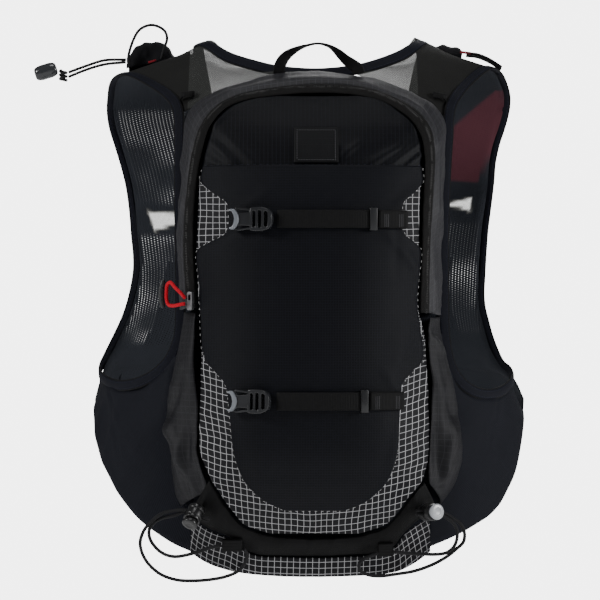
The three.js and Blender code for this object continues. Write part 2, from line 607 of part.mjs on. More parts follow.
// Webbing straps over the pocket, the upper and the lower one
const STRAPS = {
  // height of the middle, then x of the stub, the buckle, the strap's end, its keeper and the sewn end
  upper: { z: -132.6, stub: -67.3, buckle: -61.8, end: 78.3, keeper: 50.8, sewn: 55 },
  lower: { z: -277.2, stub: -66.6, buckle: -62.2, end: 75.2, keeper: 43.6, sewn: 48 },
};
const KEEPER = { width: 6, wall: 0.8, side: 1, play: 0.6, slack: 0.4 };
const STRAP_LIFT = STRETCH / 2 + 3 * GAP + KEEPER.wall + GAP + WEB.thick / 2;
const strapY = (x, z) => pocketY(x, z) - STRAP_LIFT;
function webbing(from, to, z, lift, thick) {
  const steps = Math.max(1, Math.round(Math.abs(to - from) / 14));
  const grid = Array.from({ length: steps + 1 }, (_, i) => {
    const x = from + ((to - from) * i) / steps;
    return [0.5, -0.5].map((side) => V(x, strapY(x, z) - lift, z + side * WEB.width));
  });
  return slab(grid, thick);
}
// Turns a shape drawn as x along the strap and y up into a solid standing off the pocket
function onStrap(geometry, x, z, y) {
  const slope = (pocketY(x + 18, z) - pocketY(x + 8, z)) / 10;
  return geometry.rotateX(Math.PI / 2).rotateZ(Math.atan(slope)).translate(x, y, z);
}
const roundRect = (x0, y0, x1, y1, r) => {
  const s = new THREE.Shape();
  s.moveTo(x0 + r, y0).lineTo(x1 - r, y0).quadraticCurveTo(x1, y0, x1, y0 + r).lineTo(x1, y1 - r);
  s.quadraticCurveTo(x1, y1, x1 - r, y1).lineTo(x0 + r, y1).quadraticCurveTo(x0, y1, x0, y1 - r);
  s.lineTo(x0, y0 + r).quadraticCurveTo(x0, y0, x0 + r, y0);
  return s;
};
const square = (x0, y0, x1, y1) =>
  new THREE.Path().moveTo(x0, y0).lineTo(x1, y0).lineTo(x1, y1).lineTo(x0, y1);
const extrude = (shape, depth, curveSegments = 2) =>
  new THREE.ExtrudeGeometry(shape, { depth, bevelEnabled: false, curveSegments });

// Side-release buckle: the plug's frame, tongue and two prongs, and the socket that they sit in
const PLUG = { frame: 9, half: 9.3, slot: [2.4, 5.6, 7.6], reach: 19.2, tongue: 5, prong: [7.4, 9.7], thick: 5 };
const SOCKET = { from: 17, half: 9.9, slots: [[21.4, 24.2, 7.7], [25.8, 28.7, 7.4], [30.2, 33.2, 7.0]], pocket: 19.6 };
function plugSolid() {
  const frame = roundRect(0, -PLUG.half, PLUG.frame, PLUG.half, 1.6);
  const [s0, s1, sh] = PLUG.slot;
  frame.holes.push(square(s0, -sh, s1, sh));
  let solid = solidOf(extrude(frame, PLUG.thick));
  const tongue = box(PLUG.reach - PLUG.frame + 1, 2 * PLUG.tongue, PLUG.thick - 1.4,
    (PLUG.reach + PLUG.frame - 1) / 2, 0, PLUG.thick / 2);
  solid = solid.add(solidOf(tongue));
  for (const side of [1, -1]) {
    const prong = new THREE.Shape([
      [PLUG.frame - 1, 6.6], [PLUG.frame + 3, 7.2], [PLUG.reach, 7.4], [PLUG.reach, 9.2], [14.5, 9.7], [11.5, 9.2],
      [PLUG.frame - 1, 9.2],
    ].map(([x, y]) => new THREE.Vector2(x, side * y)));
    solid = solid.add(solidOf(extrude(prong, PLUG.thick - 1.2).translate(0, 0, 0.6)));
  }
  return geometryOf(solid);
}
function socketSolid() {
  const { from, half, slots, pocket } = SOCKET;
  const body = roundRect(from, -half, BUCKLE.long, half, 3.4);
  for (const [a, b, tall] of slots) {
    body.holes.push(square(a, -tall, b, tall));
  }
  let solid = solidOf(extrude(body, BUCKLE.thick - 2));
  const seat = PLUG.thick / 2 + 0.9;
  const mouth = box(pocket - from + 1, 2 * (PLUG.tongue + GAP), PLUG.thick - 0.6, (pocket + from - 1) / 2, 0, seat);
  solid = solid.subtract(solidOf(mouth));
  for (const side of [1, -1]) {
    const window = box(pocket - from + 1, 5.4, PLUG.thick - 0.5, (pocket + from - 1) / 2, side * (7.0 + 2.7), seat);
    solid = solid.subtract(solidOf(window));
  }
  return geometryOf(solid);
}
for (const [name, strap] of Object.entries(STRAPS)) {
  const tail = strap.buckle + BUCKLE.long + GAP;
  add(`strap_${name}`, webbing(tail, strap.sewn - GAP, strap.z, 0, WEB.thick), BLACK);
  add(`strap_end_${name}`, webbing(strap.sewn, strap.end, strap.z, 0.4, 2 * WEB.thick - 0.4), BLACK);
  add(`strap_stub_${name}`, webbing(strap.stub, strap.buckle - GAP, strap.z, 0, WEB.thick), BLACK);
  const hole = [WEB.width + 2 * KEEPER.play, WEB.thick + 2 * KEEPER.slack];
  const ring = box(hole[0] + 2 * KEEPER.side, KEEPER.width, hole[1] + 2 * KEEPER.wall);
  const inside = box(hole[0], KEEPER.width + 2, hole[1]);
  const keeper = geometryOf(solidOf(ring).subtract(solidOf(inside)));
  const turned = keeper.rotateZ(Math.PI / 2);
  const slope = Math.atan((strapY(strap.keeper + 5, strap.z) - strapY(strap.keeper - 5, strap.z)) / 10);
  turned.rotateX(Math.PI / 2).rotateZ(slope).translate(strap.keeper, strapY(strap.keeper, strap.z), strap.z);
  add(`keeper_${name}`, turned, BLACK);
  const rest = pocketY(strap.buckle + 18, strap.z) - STRETCH / 2 - BUCKLE.stand;
  const start = rest + ((pocketY(strap.buckle + 18, strap.z) - pocketY(strap.buckle + 8, strap.z)) / 10) * -18;
  add(`buckle_plug_${name}`, onStrap(plugSolid().translate(0, 0, 0.9), strap.buckle, strap.z, start), PLASTIC, 0.4);
  add(`buckle_socket_${name}`, onStrap(socketSolid(), strap.buckle, strap.z, start), PLASTIC, 0.4);
}

// Haul loop: webbing that twists edge-on at its top
const HAUL = [
  // x, y, z, turn of the strap in degrees, width
  [-24.5, -88, -10.8, 0, 9], [-24, -89, -4, 8, 9], [-19.5, -90, 3.5, 35, 9.5], [-10.5, -90, 9.5, 70, 10],
  [-1, -90, 13, 88, 10], [8, -90, 14.4, 90, 10], [17, -90, 12, 82, 10], [24.5, -90, 6.5, 55, 10],
  [30.5, -89, 1, 34, 11], [36, -88, -3, 14, 12], [40, -88, -6.2, 3, 13], [41, -88, -10.2, 0, 13],
];
const haulCurve = smooth(HAUL.map(([x, y, z]) => V(x, y, z)));
const haulRows = Array.from({ length: 19 }, (_, i) => {
  const f = i / 18;
  const tangent = haulCurve.getTangent(f);
  const key = f * (HAUL.length - 1);
  const turn = lookUp(HAUL.map((r, k) => [k, r[3], r[4]]), key, 1);
  const width = lookUp(HAUL.map((r, k) => [k, r[3], r[4]]), key, 2);
  const flat = V(0, 1, 0).cross(tangent).normalize();
  const across = flat.applyAxisAngle(tangent, THREE.MathUtils.degToRad(turn));
  return { at: haulCurve.getPoint(f), across, width, thick: 1.6 };
});
add('haul_loop', strip(haulRows, false, 2), BLACK);

// Small gear loops on the yokes, beside the pack's top corners
const GEAR_LOOP = { columns: [0.12, 1.1], row: 5.3, rise: 2.4, width: 3, thick: 1.2 };
for (const [side, grid] of Object.entries(yokes)) {
  const [k, part5] = [Math.floor(GEAR_LOOP.row), GEAR_LOOP.row % 1];
  const rows = [0, 0.25, 0.5, 0.75, 1].map((f) => {
    const c = THREE.MathUtils.lerp(...GEAR_LOOP.columns, f);
    const pick = (row) => row[Math.floor(c)].clone().lerp(row[Math.floor(c) + 1], c % 1);
    const at = pick(grid[k]).lerp(pick(grid[k + 1]), part5);
    const n = bodyNormal(at);
    const stand = CLOTH / 2 + GEAR_LOOP.thick / 2 + 0.7 + GEAR_LOOP.rise * Math.sin(Math.PI * f);
    const across = V(1, 0, 0).cross(n).normalize();
    return { at: at.addScaledVector(n, stand), across, width: GEAR_LOOP.width, thick: GEAR_LOOP.thick };
  });
  add(`gear_loop_${side}`, strip(rows, false, 2), BLACK);
}

// The main zip's slider, its red cord and the black grip
const SLIDER = { x: -94.6, y: -142.6, z: -197.6, width: 6, tall: 15, thick: 3 };
const sliderShape = roundRect(-SLIDER.width / 2, -SLIDER.tall / 2, SLIDER.width / 2, SLIDER.tall / 2, 2);
sliderShape.holes.push(square(-1.4, 0.5, 1.4, 5.2));
const slider = extrude(sliderShape, SLIDER.thick).rotateX(Math.PI / 2).rotateZ(-0.75);
add('zip_slider', slider.translate(SLIDER.x, SLIDER.y, SLIDER.z), METAL, 0.35, 0.9);
const GRIP = [[-117.8, -133.6, -180.6], [-119.4, -133.2, -187], [-119.6, -133.2, -195], [-118.2, -133.6, -203]];
add('pull_grip', cord(GRIP.map((p) => V(...p)), 4.6, 8, 6), BLACK, 0.5);
const PULL = [
  [-99.9, -142.6, -195.4], [-103, -143, -191.6], [-108, -141, -186.8], [-112, -137.6, -182.6], [-114.6, -135, -184.6],
  [-115.4, -134, -190], [-115.3, -134, -196], [-113.6, -135.2, -200.6], [-109, -139, -201.4], [-104, -142.4, -200.4],
  [-99.9, -143, -199.8],
];
add('pull_cord', cord(PULL.map((p) => V(...p)), PULL_CORD), RED);

// Cord locks: a barrel with a blind bore, and a sprung plunger in it. Both cords cross them.
const LOCKS = {
  // middle of the barrel, direction of the button, direction of the cords
  left: { at: V(-92.5, -134, -369.5), button: V(-0.35, -0.6, -0.72), cords: V(1, 0, -0.15) },
  right: { at: V(97, -132.5, -368.5), button: V(0.55, -0.83, 0.1), cords: V(0.83, 0.55, 0) },
};
const CORD_SPREAD = 1.45; // each cord's distance from the lock's axis
const BORE_HALF = 3.15;
const BORE_TALL = SHOCK_CORD + 0.6;
const DISC_STEPS = 12;
for (const lock of Object.values(LOCKS)) {
  lock.button.normalize();
  lock.cords.addScaledVector(lock.button, -lock.cords.dot(lock.button)).normalize();
  lock.side = lock.cords.clone().cross(lock.button);
  lock.mouth = lock.at.clone().addScaledVector(lock.button, LOCK.long / 2);
  lock.basis = new THREE.Matrix4().makeBasis(lock.cords, lock.button, lock.side).setPosition(lock.mouth);
}
const lathe = (profile) => new THREE.LatheGeometry(profile.map(([r, y]) => new THREE.Vector2(r, y)), DISC_STEPS);
function barrelSolid() {
  const { radius, long, floor, bore, cordAt } = LOCK;
  const outer = [[0, -long], [radius - 1.2, -long], [radius, 1.2 - long], [radius, 0], [bore, 0], [bore, floor - long], [0, floor - long]];
  const cross = box(4 * radius, BORE_TALL, 2 * BORE_HALF, 0, cordAt, 0);
  return geometryOf(solidOf(lathe(outer)).subtract(solidOf(cross)));
}
function plungerSolid() {
  const { stem, cap, long, floor, travel, cordAt } = LOCK;
  const foot = floor - long + travel + 0.3;
  const rim = travel + 0.3;
  const profile = [[0, foot], [stem, foot], [stem, rim], [cap, rim], [cap, rim + 1.6], [cap - 1.6, rim + 2.7], [0, rim + 2.7]];
  const low = cordAt - BORE_TALL / 2;
  const high = cordAt + BORE_TALL / 2 + travel;
  const slot = box(4 * cap, high - low, 2 * BORE_HALF, 0, (low + high) / 2, 0);
  return geometryOf(solidOf(lathe(profile)).subtract(solidOf(slot)));
}
for (const [side, lock] of Object.entries(LOCKS)) {
  add(`cord_lock_barrel_${side}`, barrelSolid().applyMatrix4(lock.basis), PLASTIC, 0.35);
  add(`cord_lock_plunger_${side}`, plungerSolid().applyMatrix4(lock.basis), BUTTON_GREY, 0.3);
}

// The bottom cord: on each side two strands run from the casing's tab, through the lock, to a cut end
const CORD_ENDS = 13; // the cut ends stand this far past the lock's axis
const CORD_ROUTES = {
  // x, y, z from the lock to the tab
  left_outer: { side: 'left', spread: -1, out: -1, points: [
    [-109.8, -131, -367.4], [-119.5, -129, -369.9], [-127.7, -126, -376.4], [-134.2, -123, -384.1],
    [-137.4, -120, -395.1], [-133.3, -118, -408], [-122, -117, -419.4], [-108.2, -116, -424.7], [-94.3, -115, -425.6],
    [-80.5, -114, -424.7], [-68.3, -113.5, -422.4], [-57.8, -114, -417.8], [-52.1, -116.5, -410.5],
    [-50.4, -120, -403.4], [-53.1, -122, -399],
  ] },
  left_inner: { side: 'left', spread: 1, out: -1, points: [
    [-109.8, -129.5, -371.5], [-119.5, -126.5, -373.9], [-126.4, -123, -378], [-130.1, -120, -384.1],
    [-129.3, -117, -391.8], [-124.4, -115, -399.1], [-117.9, -114, -404], [-109.8, -114, -406], [-100.8, -115, -404.8],
    [-89.5, -116.5, -401.6], [-80.5, -119, -398.3], [-71.6, -122.1, -396.2],
  ] },
  right_outer: { side: 'right', spread: -1, out: 1, points: [
    [117.7, -121, -374.6], [124.2, -117, -380.4], [126.7, -114, -386.9], [125.9, -112, -394.2],
    [120.2, -112, -399.9], [112, -112.5, -406.4], [99.9, -113, -412.9], [86, -113, -417.8], [72.2, -113, -420.2],
    [57.6, -113.5, -421.9], [48.7, -114, -421], [42.2, -115, -417.8], [40.5, -117.5, -412.1], [44.6, -120, -407.4],
    [55.6, -122.3, -402.5],
  ] },
  right_inner: { side: 'right', spread: 1, out: 1, points: [
    [116.5, -124, -377.5], [120.2, -121, -384.1], [120.2, -118, -391.8], [117.5, -116, -398.3], [112.2, -115, -402.6],
    [104.7, -115, -404], [90.9, -116, -403.7], [79.5, -118.5, -402.8], [69.3, -121.7, -401.6],
  ] },
};
for (const [name, { side, spread, out, points }] of Object.entries(CORD_ROUTES)) {
  const lock = LOCKS[side];
  const through = (c) => lock.mouth.clone().addScaledVector(lock.button, LOCK.cordAt)
    .addScaledVector(lock.side, spread * CORD_SPREAD).addScaledVector(lock.cords, c);
  const inside = [-out * CORD_ENDS, 0, out * 8].map(through);
  const route = [...inside, ...points.map((p) => V(...p))];
  add(`shock_cord_${name}`, cord(route, SHOCK_CORD), CORD_BLACK);
}

// Black tabs that hold the cords' ends to the casing
const TABS = { left: [-391, -401, -70.6, -54.4], right: [-394.5, -405, 56.2, 68.4] };
const TAB_THICK = 3;
for (const [side, [top, bottom, x0, x1]] of Object.entries(TABS)) {
  const lift = CLOTH / 2 + CASING_SWELL + GAP + TAB_THICK / 2;
  add(`cord_tab_${side}`, slab(faceGrid([[top, x0, x1], [bottom, x0, x1]], 3, () => lift), TAB_THICK), BLACK);
}

// Elastic with a knot and a bead, hanging off the left shoulder, and the loop that stands up there
const TOGGLE_UPPER = [[-156.6, 9, 9.3], [-175, 5, 8.3], [-190, 2, 3.4], [-204.9, 0, -2.3]];
const TOGGLE_LOWER = [[-156.6, 5.6, 6.8], [-175, 5, 4.8], [-190, 2, 0.1], [-205.1, 0, -6.2]];
add('toggle_cord_upper', cord(TOGGLE_UPPER.map((p) => V(...p)), THIN_CORD), BLACK);
add('toggle_cord_lower', cord(TOGGLE_LOWER.map((p) => V(...p)), THIN_CORD), BLACK);
const knot = new THREE.SphereGeometry(1, 10, 7).scale(4, 4.2, 6.2).rotateY(-0.25).translate(-209.7, 0, -5);
add('toggle_knot', knot, BLACK);
const BEAD = { half: 9.6, radius: 6.5, hole: 1.9 };
const beadProfile = [
  [BEAD.hole, -BEAD.half], [4.2, -BEAD.half], [BEAD.radius, -5], [BEAD.radius, 5], [4.2, BEAD.half], [BEAD.hole, BEAD.half],
  [BEAD.hole, -BEAD.half],
];
add('toggle_bead', lathe(beadProfile).rotateZ(Math.PI / 2 - 0.3).translate(-224.4, 0, -1.6), PLASTIC, 0.3);
const SHOULDER_LOOP = [
  [-153.5, 1.5, 1.8], [-154.3, 1, 9], [-150, 1, 25], [-144, 2, 34.7], [-134, 3, 38.4], [-123.6, 2, 33.8], [-121, 1, 27],
  [-123.8, 0, 17], [-126, 0, 9],
];
add('shoulder_loop', cord(SHOULDER_LOOP.map((p) => V(...p)), THIN_CORD), BLACK);

// Gathered pocket tops that show over the shoulders: arches of cloth from the ridge to the front
const CHEST_POCKETS = {
  // x, foot at the ridge, top, foot at the front
  left: [[-156, 2, 9, -10], [-150, 3, 18, -9], [-141, 5, 24.5, -6.5], [-127, 8, 28, -2.5], [-114, 11, 24, 1.5], [-107, 13, 19, 3.5]],
  right: [[107, 17.2, 20, 10], [112, 15.7, 21.5, 8.2], [119, 13.2, 23, 5.2], [126, 11.2, 21, 2.2], [131, 10, 15, 0.2]],
};
const ARCH_SHAPE = [[5, 0, 1], [6.5, 0.75, 0], [13, 1.03, 0], [22, 1, 0], [31, 0.72, 0], [37, 0, 2]];
for (const [side, table] of Object.entries(CHEST_POCKETS)) {
  const grid = table.map(([x, ridge, top, front]) => ARCH_SHAPE.map(([y, rise], k) => {
    const foot = ridge + ((front - ridge) * k) / (ARCH_SHAPE.length - 1);
    return V(x, y, foot + (top - foot) * rise);
  }));
  add(`chest_pocket_${side}`, slab(grid, CLOTH), BLACK);
}
const SHOULDER_PIECE = [[135, 13.6], [145, 12.3], [155, 8], [165, 1.6]];
const pieceRows = SHOULDER_PIECE.map(([x, z]) => ({ at: V(x, 7, z), across: V(0, 1, -0.15), width: 13, thick: 2.4 }));
add('shoulder_piece_right', strip(pieceRows, false, 2), BLACK);

// Lower front pockets: pouches on the outside of the fronts
const FRONT_POCKET = { rows: [9, 16.2], columns: [1.3, 3.6], stand: 3.4, swell: 11, steps: [7, 5] };
for (const side of Object.keys(fronts)) {
  const front = fronts[side];
  const { rows, columns, stand, swell, steps } = FRONT_POCKET;
  const sample = (u, v) => {
    const [i, j] = [Math.min(Math.floor(u), front.length - 2), Math.min(Math.floor(v), front[0].length - 2)];
    const upper = front[i][j].clone().lerp(front[i][j + 1], v - j);
    return upper.lerp(front[i + 1][j].clone().lerp(front[i + 1][j + 1], v - j), u - i);
  };
  const grid = Array.from({ length: steps[0] + 1 }, (_, a) => Array.from({ length: steps[1] + 1 }, (_, b) => {
    const [f, g] = [a / steps[0], b / steps[1]];
    const p = sample(THREE.MathUtils.lerp(...rows, f), THREE.MathUtils.lerp(...columns, g));
    return p.addScaledVector(bodyNormal(p), stand + swell * Math.sqrt(Math.sin(Math.PI * f)) * Math.sin(Math.PI * g));
  }));
  add(`front_pocket_${side}`, slab(grid, CLOTH), CHARCOAL);
}

// Plain straps that close the front
const STERNUM = { upper: [-104, 80], lower: [-178, 72] };
const STERNUM_STAND = 3.1;
for (const [name, [z, half]] of Object.entries(STERNUM)) {
  const grid = Array.from({ length: 11 }, (_, i) => {
    const x = half * (i / 5 - 1);
    return [0.5, -0.5].map((up) => V(x, chestY(x, z) + STERNUM_STAND, z + up * WEB.width));
  });
  add(`sternum_strap_${name}`, slab(grid, WEB.thick), BLACK);
}

export default part;
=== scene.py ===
"""Running hydration vest seen worn: finished cloth, webbing, buckles, cords and trim."""
import math

import bmesh
import bpy
import numpy as np
from mathutils import Matrix, Vector


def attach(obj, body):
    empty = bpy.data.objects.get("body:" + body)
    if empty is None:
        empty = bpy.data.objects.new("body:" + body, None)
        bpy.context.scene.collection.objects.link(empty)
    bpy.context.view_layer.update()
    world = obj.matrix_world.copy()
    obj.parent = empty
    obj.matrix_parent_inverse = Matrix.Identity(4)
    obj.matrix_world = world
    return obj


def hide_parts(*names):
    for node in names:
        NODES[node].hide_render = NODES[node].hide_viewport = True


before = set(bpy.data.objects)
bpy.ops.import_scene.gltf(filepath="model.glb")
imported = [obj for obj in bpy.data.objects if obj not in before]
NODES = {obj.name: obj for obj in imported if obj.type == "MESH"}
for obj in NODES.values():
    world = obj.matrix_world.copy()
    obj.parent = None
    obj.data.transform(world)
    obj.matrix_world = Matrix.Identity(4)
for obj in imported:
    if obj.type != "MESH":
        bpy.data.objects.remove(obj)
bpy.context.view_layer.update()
MM = 0.001
VEST = "vest"  # the body that every piece but the cord locks' buttons rides on

# How far things stand out or how thick they are, in metres
CLOTH = 0.0009
STRETCH_CLOTH = 0.0011
MESH_CLOTH = 0.0006


# Camera


def add_camera():
    """A level camera at the photograph's angle, square on to the back."""
    data = bpy.data.cameras.new("camera")
    data.lens = 175.6
    data.sensor_width = 36
    data.clip_end = 20
    camera = bpy.data.objects.new("camera", data)
    camera.location = (-0.0074, -2.5, -0.1968)
    camera.rotation_euler = (math.pi / 2, 0, 0)
    bpy.context.scene.camera = show(camera)


# Meshes and curves


def rows(array):
    return np.asarray(array, float)


def show(thing):
    """Links an object to the scene."""
    bpy.context.scene.collection.objects.link(thing)
    return thing


def evaluated(thing):
    """A new mesh of an object with its modifiers and its curve's depth applied."""
    bpy.context.view_layer.update()
    return bpy.data.meshes.new_from_object(thing.evaluated_get(bpy.context.evaluated_depsgraph_get()))


def soften(mesh):
    """Shades every face smooth."""
    mesh.polygons.foreach_set("use_smooth", np.ones(len(mesh.polygons), bool))


def through(points, per_span=8, closed=False):
    """Points on a centripetal Catmull-Rom curve through the points given."""
    p = rows(points)
    if closed:
        p = np.vstack([p[-1], p, p[0], p[1]])
    else:
        p = np.vstack([2 * p[0] - p[1], p, 2 * p[-1] - p[-2]])
    out = []
    for a, b, c, d in zip(p, p[1:], p[2:], p[3:]):
        t0 = 0.0
        t1 = t0 + max(np.linalg.norm(b - a) ** 0.5, 1e-6)
        t2 = t1 + max(np.linalg.norm(c - b) ** 0.5, 1e-6)
        t3 = t2 + max(np.linalg.norm(d - c) ** 0.5, 1e-6)
        for t in np.linspace(t1, t2, per_span, endpoint=False):
            a1 = (t1 - t) / (t1 - t0) * a + (t - t0) / (t1 - t0) * b
            a2 = (t2 - t) / (t2 - t1) * b + (t - t1) / (t2 - t1) * c
            a3 = (t3 - t) / (t3 - t2) * c + (t - t2) / (t3 - t2) * d
            b1 = (t2 - t) / (t2 - t0) * a1 + (t - t0) / (t2 - t0) * a2
            b2 = (t3 - t) / (t3 - t1) * a2 + (t - t1) / (t3 - t1) * a3
            out.append((t2 - t) / (t2 - t1) * b1 + (t - t1) / (t2 - t1) * b2)
    if not closed:
        out.append(p[-2])
    return np.array(out)


def arc(path):
    """Distance along a path at each of its points."""
    steps = np.linalg.norm(np.diff(path, axis=0), axis=1)
    return np.concatenate([[0], np.cumsum(steps)])


def sample(values, along, at):
    """Rows of three numbers, interpolated at distances along a path."""
    return np.stack([np.interp(at, along, values[:, k]) for k in range(3)], 1)


def even(path, step):
    """The same path with its points the same distance apart."""
    along = arc(path)
    count = max(3, int(round(along[-1] / step)) + 1)
    return sample(path, along, np.linspace(0, along[-1], count))


def unit(v):
    return v / np.maximum(np.linalg.norm(v, axis=-1, keepdims=True), 1e-12)


def mesh_object(name, verts, faces, uvs=None, smooth=True, marks=None):
    """A mesh piece. uvs gives one pair of metres for each vertex, marks named numbers for each vertex."""
    mesh = bpy.data.meshes.new(name)
    mesh.from_pydata([tuple(v) for v in verts], [], [tuple(f) for f in faces])
    mesh.update()
    if uvs is not None:
        layer = mesh.uv_layers.new(name="cloth")
        index = np.zeros(len(mesh.loops), np.int32)
        mesh.loops.foreach_get("vertex_index", index)
        layer.data.foreach_set("uv", np.asarray(uvs, np.float32)[index].ravel())
    for key, values in (marks or {}).items():
        attribute = mesh.attributes.new(key, "FLOAT", "POINT")
        attribute.data.foreach_set("value", np.asarray(values, np.float32).ravel())
    if smooth:
        soften(mesh)
    return show(bpy.data.objects.new(name, mesh))


def grid_faces(n, m, wrap_rows=False, wrap_cols=False):
    faces = []
    for i in range(n if wrap_rows else n - 1):
        for j in range(m if wrap_cols else m - 1):
            a, b = i * m + j, i * m + (j + 1) % m
            c, d = ((i + 1) % n) * m + (j + 1) % m, ((i + 1) % n) * m + j
            faces.append((a, b, c, d))
    return faces


def settle(piece, material, body=VEST, replaces=()):
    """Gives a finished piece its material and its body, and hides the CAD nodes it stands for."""
    piece.data.materials.clear()
    piece.data.materials.append(material)
    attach(piece, body)
    if replaces:
        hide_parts(*replaces)
    return piece


def outwards(piece):
    """Turns the faces of a closed mesh to point out."""
    bm = bmesh.new()
    bm.from_mesh(piece.data)
    bmesh.ops.recalc_face_normals(bm, faces=bm.faces)
    bm.to_mesh(piece.data)
    bm.free()
    return piece


OFF_AXIS = [0.13, 0.21, 0.97]  # no tube starts in this direction


def tube(name, path, radius, sides=10, swell=None):
    """A closed round tube along a path. swell gives a factor on the radius at each point."""
    path = rows(path)
    n = len(path)
    along = arc(path)
    forward = unit(np.gradient(path, axis=0))
    side = np.zeros_like(path)
    side[0] = unit(np.cross(forward[0], OFF_AXIS))
    for k in range(1, n):
        side[k] = unit(side[k - 1] - forward[k] * np.dot(side[k - 1], forward[k]))
    up = np.cross(forward, side)
    factor = np.ones(n) if swell is None else np.asarray(swell)
    verts, uvs = [], []
    for k in range(n):
        for j in range(sides):
            turn = 2 * math.pi * j / sides
            out = math.cos(turn) * side[k] + math.sin(turn) * up[k]
            verts.append(path[k] + out * radius * factor[k])
            uvs.append((turn * radius, along[k]))
    faces = grid_faces(n, sides, wrap_cols=True)
    for k, centre in ((0, path[0]), (n - 1, path[-1])):
        end = len(verts)
        nudge = forward[k] * radius * 0.25 * (1 if k else -1)
        verts.append(centre + nudge)
        uvs.append((0, along[k]))
        for j in range(sides):
            a, b = k * sides + j, k * sides + (j + 1) % sides
            faces.append((a, b, end) if k else (b, a, end))
    return outwards(mesh_object(name, verts, faces, uvs))


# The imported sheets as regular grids, so that finished cloth follows them exactly


def merged(node):
    """A bmesh of a CAD node with its loose triangles joined."""
    bm = bmesh.new()
    bm.from_mesh(NODES[node].data)
    bmesh.ops.remove_doubles(bm, verts=bm.verts, dist=2e-6)
    bmesh.ops.recalc_face_normals(bm, faces=bm.faces)
    bm.normal_update()
    return bm


SHARP = math.radians(52)
EYE = Vector((0, 0, -0.2))  # a sheet's outer side faces away from this point


def patches(bm):
    """Groups of faces with no sharp edge between them, the largest area first."""
    seen, groups = set(), []
    for first in bm.faces:
        if first.index in seen:
            continue
        group, todo = [], [first]
        seen.add(first.index)
        while todo:
            face = todo.pop()
            group.append(face)
            for edge in face.edges:
                for other in edge.link_faces:
                    if other.index not in seen and face.normal.angle(other.normal, 0) < SHARP:
                        seen.add(other.index)
                        todo.append(other)
        groups.append(group)
    return sorted(groups, key=lambda g: -sum(f.calc_area() for f in g))


def walk(group):
    """The regular grid of vertices that a group of triangles was split from."""
    inside = {f.index for f in group}
    faces_at, rim, near = {}, {}, {}
    for face in group:
        for edge in face.edges:
            a, b = edge.verts[0].index, edge.verts[1].index
            near.setdefault(a, set()).add(b)
            near.setdefault(b, set()).add(a)
            pair = (min(a, b), max(a, b))
            faces_at.setdefault(pair, []).append([v.index for v in face.verts])
            if sum(f.index in inside for f in edge.link_faces) == 1:
                rim.setdefault(a, set()).add(b)
                rim.setdefault(b, set()).add(a)
    place = {v.index: v.co.copy() for f in group for v in f.verts}
    corners = [k for k in rim if len(near[k]) <= 3]

    def across(a, b, used):
        """The far vertex of the quad that has the edge a-b, on its side that isn't used."""
        for tri in faces_at[(min(a, b), max(a, b))]:
            c = next(k for k in tri if k not in (a, b))
            if c not in used:
                return c
        return None

    def along_rim(start, second, stop):
        line = [start, second]
        while line[-1] not in stop or len(line) < 2:
            ahead = [k for k in rim[line[-1]] if k != line[-2]]
            if not ahead or ahead[0] == start:
                break
            line.append(ahead[0])
        return line

    closed = not corners
    if closed:
        start = min(rim)
        first = along_rim(start, sorted(rim[start])[0], ())
    else:
        start = min(corners)
        stop = set(corners) - {start}
        sides = [along_rim(start, k, stop) for k in sorted(rim[start])]
        first = max(sides, key=len)
    grid = [first]
    used = set(first)
    while True:
        row = grid[-1]
        if closed:
            inner = [k for k in near[row[0]] if k not in used]
            if not inner:
                break
            ring = (place[row[1]] - place[row[-1]]).normalized()
            head = min(inner, key=lambda k: abs((place[k] - place[row[0]]).normalized().dot(ring)))
        else:
            ahead = [k for k in rim[row[0]] if k not in used]
            if not ahead:
                break
            head = ahead[0]
        new = [head]
        for a, b in zip(row, row[1:]):
            low = new[-1]
            c = across(a, b, used | {low}) if low is not None else None
            if c is None:
                c = across(b, low, used | {a})
            new.append(c)
        if None in new:
            break
        used |= set(new)
        grid.append(new)
        if len(used) >= len(place):
            break
    return np.array([[place[k] for k in line] for line in grid]), closed


SHEETS = {}


def sheet_grid(node, outer=True):
    """A sheet's outer side as points [row][column]. The longer way round is the columns."""
    key = (node, outer)
    if key not in SHEETS:
        bm = merged(node)
        bm.faces.ensure_lookup_table()
        bm.verts.ensure_lookup_table()
        found = []
        for group in patches(bm)[:2]:
            lean = sum(f.normal.dot(f.calc_center_median() - EYE) * f.calc_area() for f in group)
            found.append((lean, *walk(group)))
        bm.free()
        found.sort(key=lambda f: -f[0])
        SHEETS[node, True] = found[0][1:]
        SHEETS[node, False] = found[1][1:]
    return SHEETS[key]


def cubic(grid, count, closed=False):
    """Resamples points along the first axis, evenly by distance, on a smooth curve through them."""
    g = np.asarray(grid, float)
    if closed:
        p = np.concatenate([g[-1:], g, g[:2]])
    elif len(g) > 2:
        p = np.concatenate([[2 * g[0] - g[1]], g, [2 * g[-1] - g[-2]]])
    else:
        p = np.concatenate([[2 * g[0] - g[1]], g, [2 * g[-1] - g[0]]])
    ring = np.concatenate([g, g[:1]]) if closed else g
    steps = np.linalg.norm(np.diff(ring, axis=0), axis=-1)
    steps = steps.reshape(len(ring) - 1, -1).mean(1)
    along = np.concatenate([[0], np.cumsum(steps)])
    at = np.linspace(0, along[-1], count, endpoint=not closed)
    k = np.clip(np.searchsorted(along, at, side="right") - 1, 0, len(steps) - 1)
    t = ((at - along[k]) / steps[k]).reshape(-1, *([1] * (g.ndim - 1)))
    a, b, c, d = p[k], p[k + 1], p[k + 2], p[k + 3]
    square, cube = 2 * a - 5 * b + 4 * c - d, 3 * b - a - 3 * c + d
    return 0.5 * (2 * b + (c - a) * t + square * t ** 2 + cube * t ** 3)


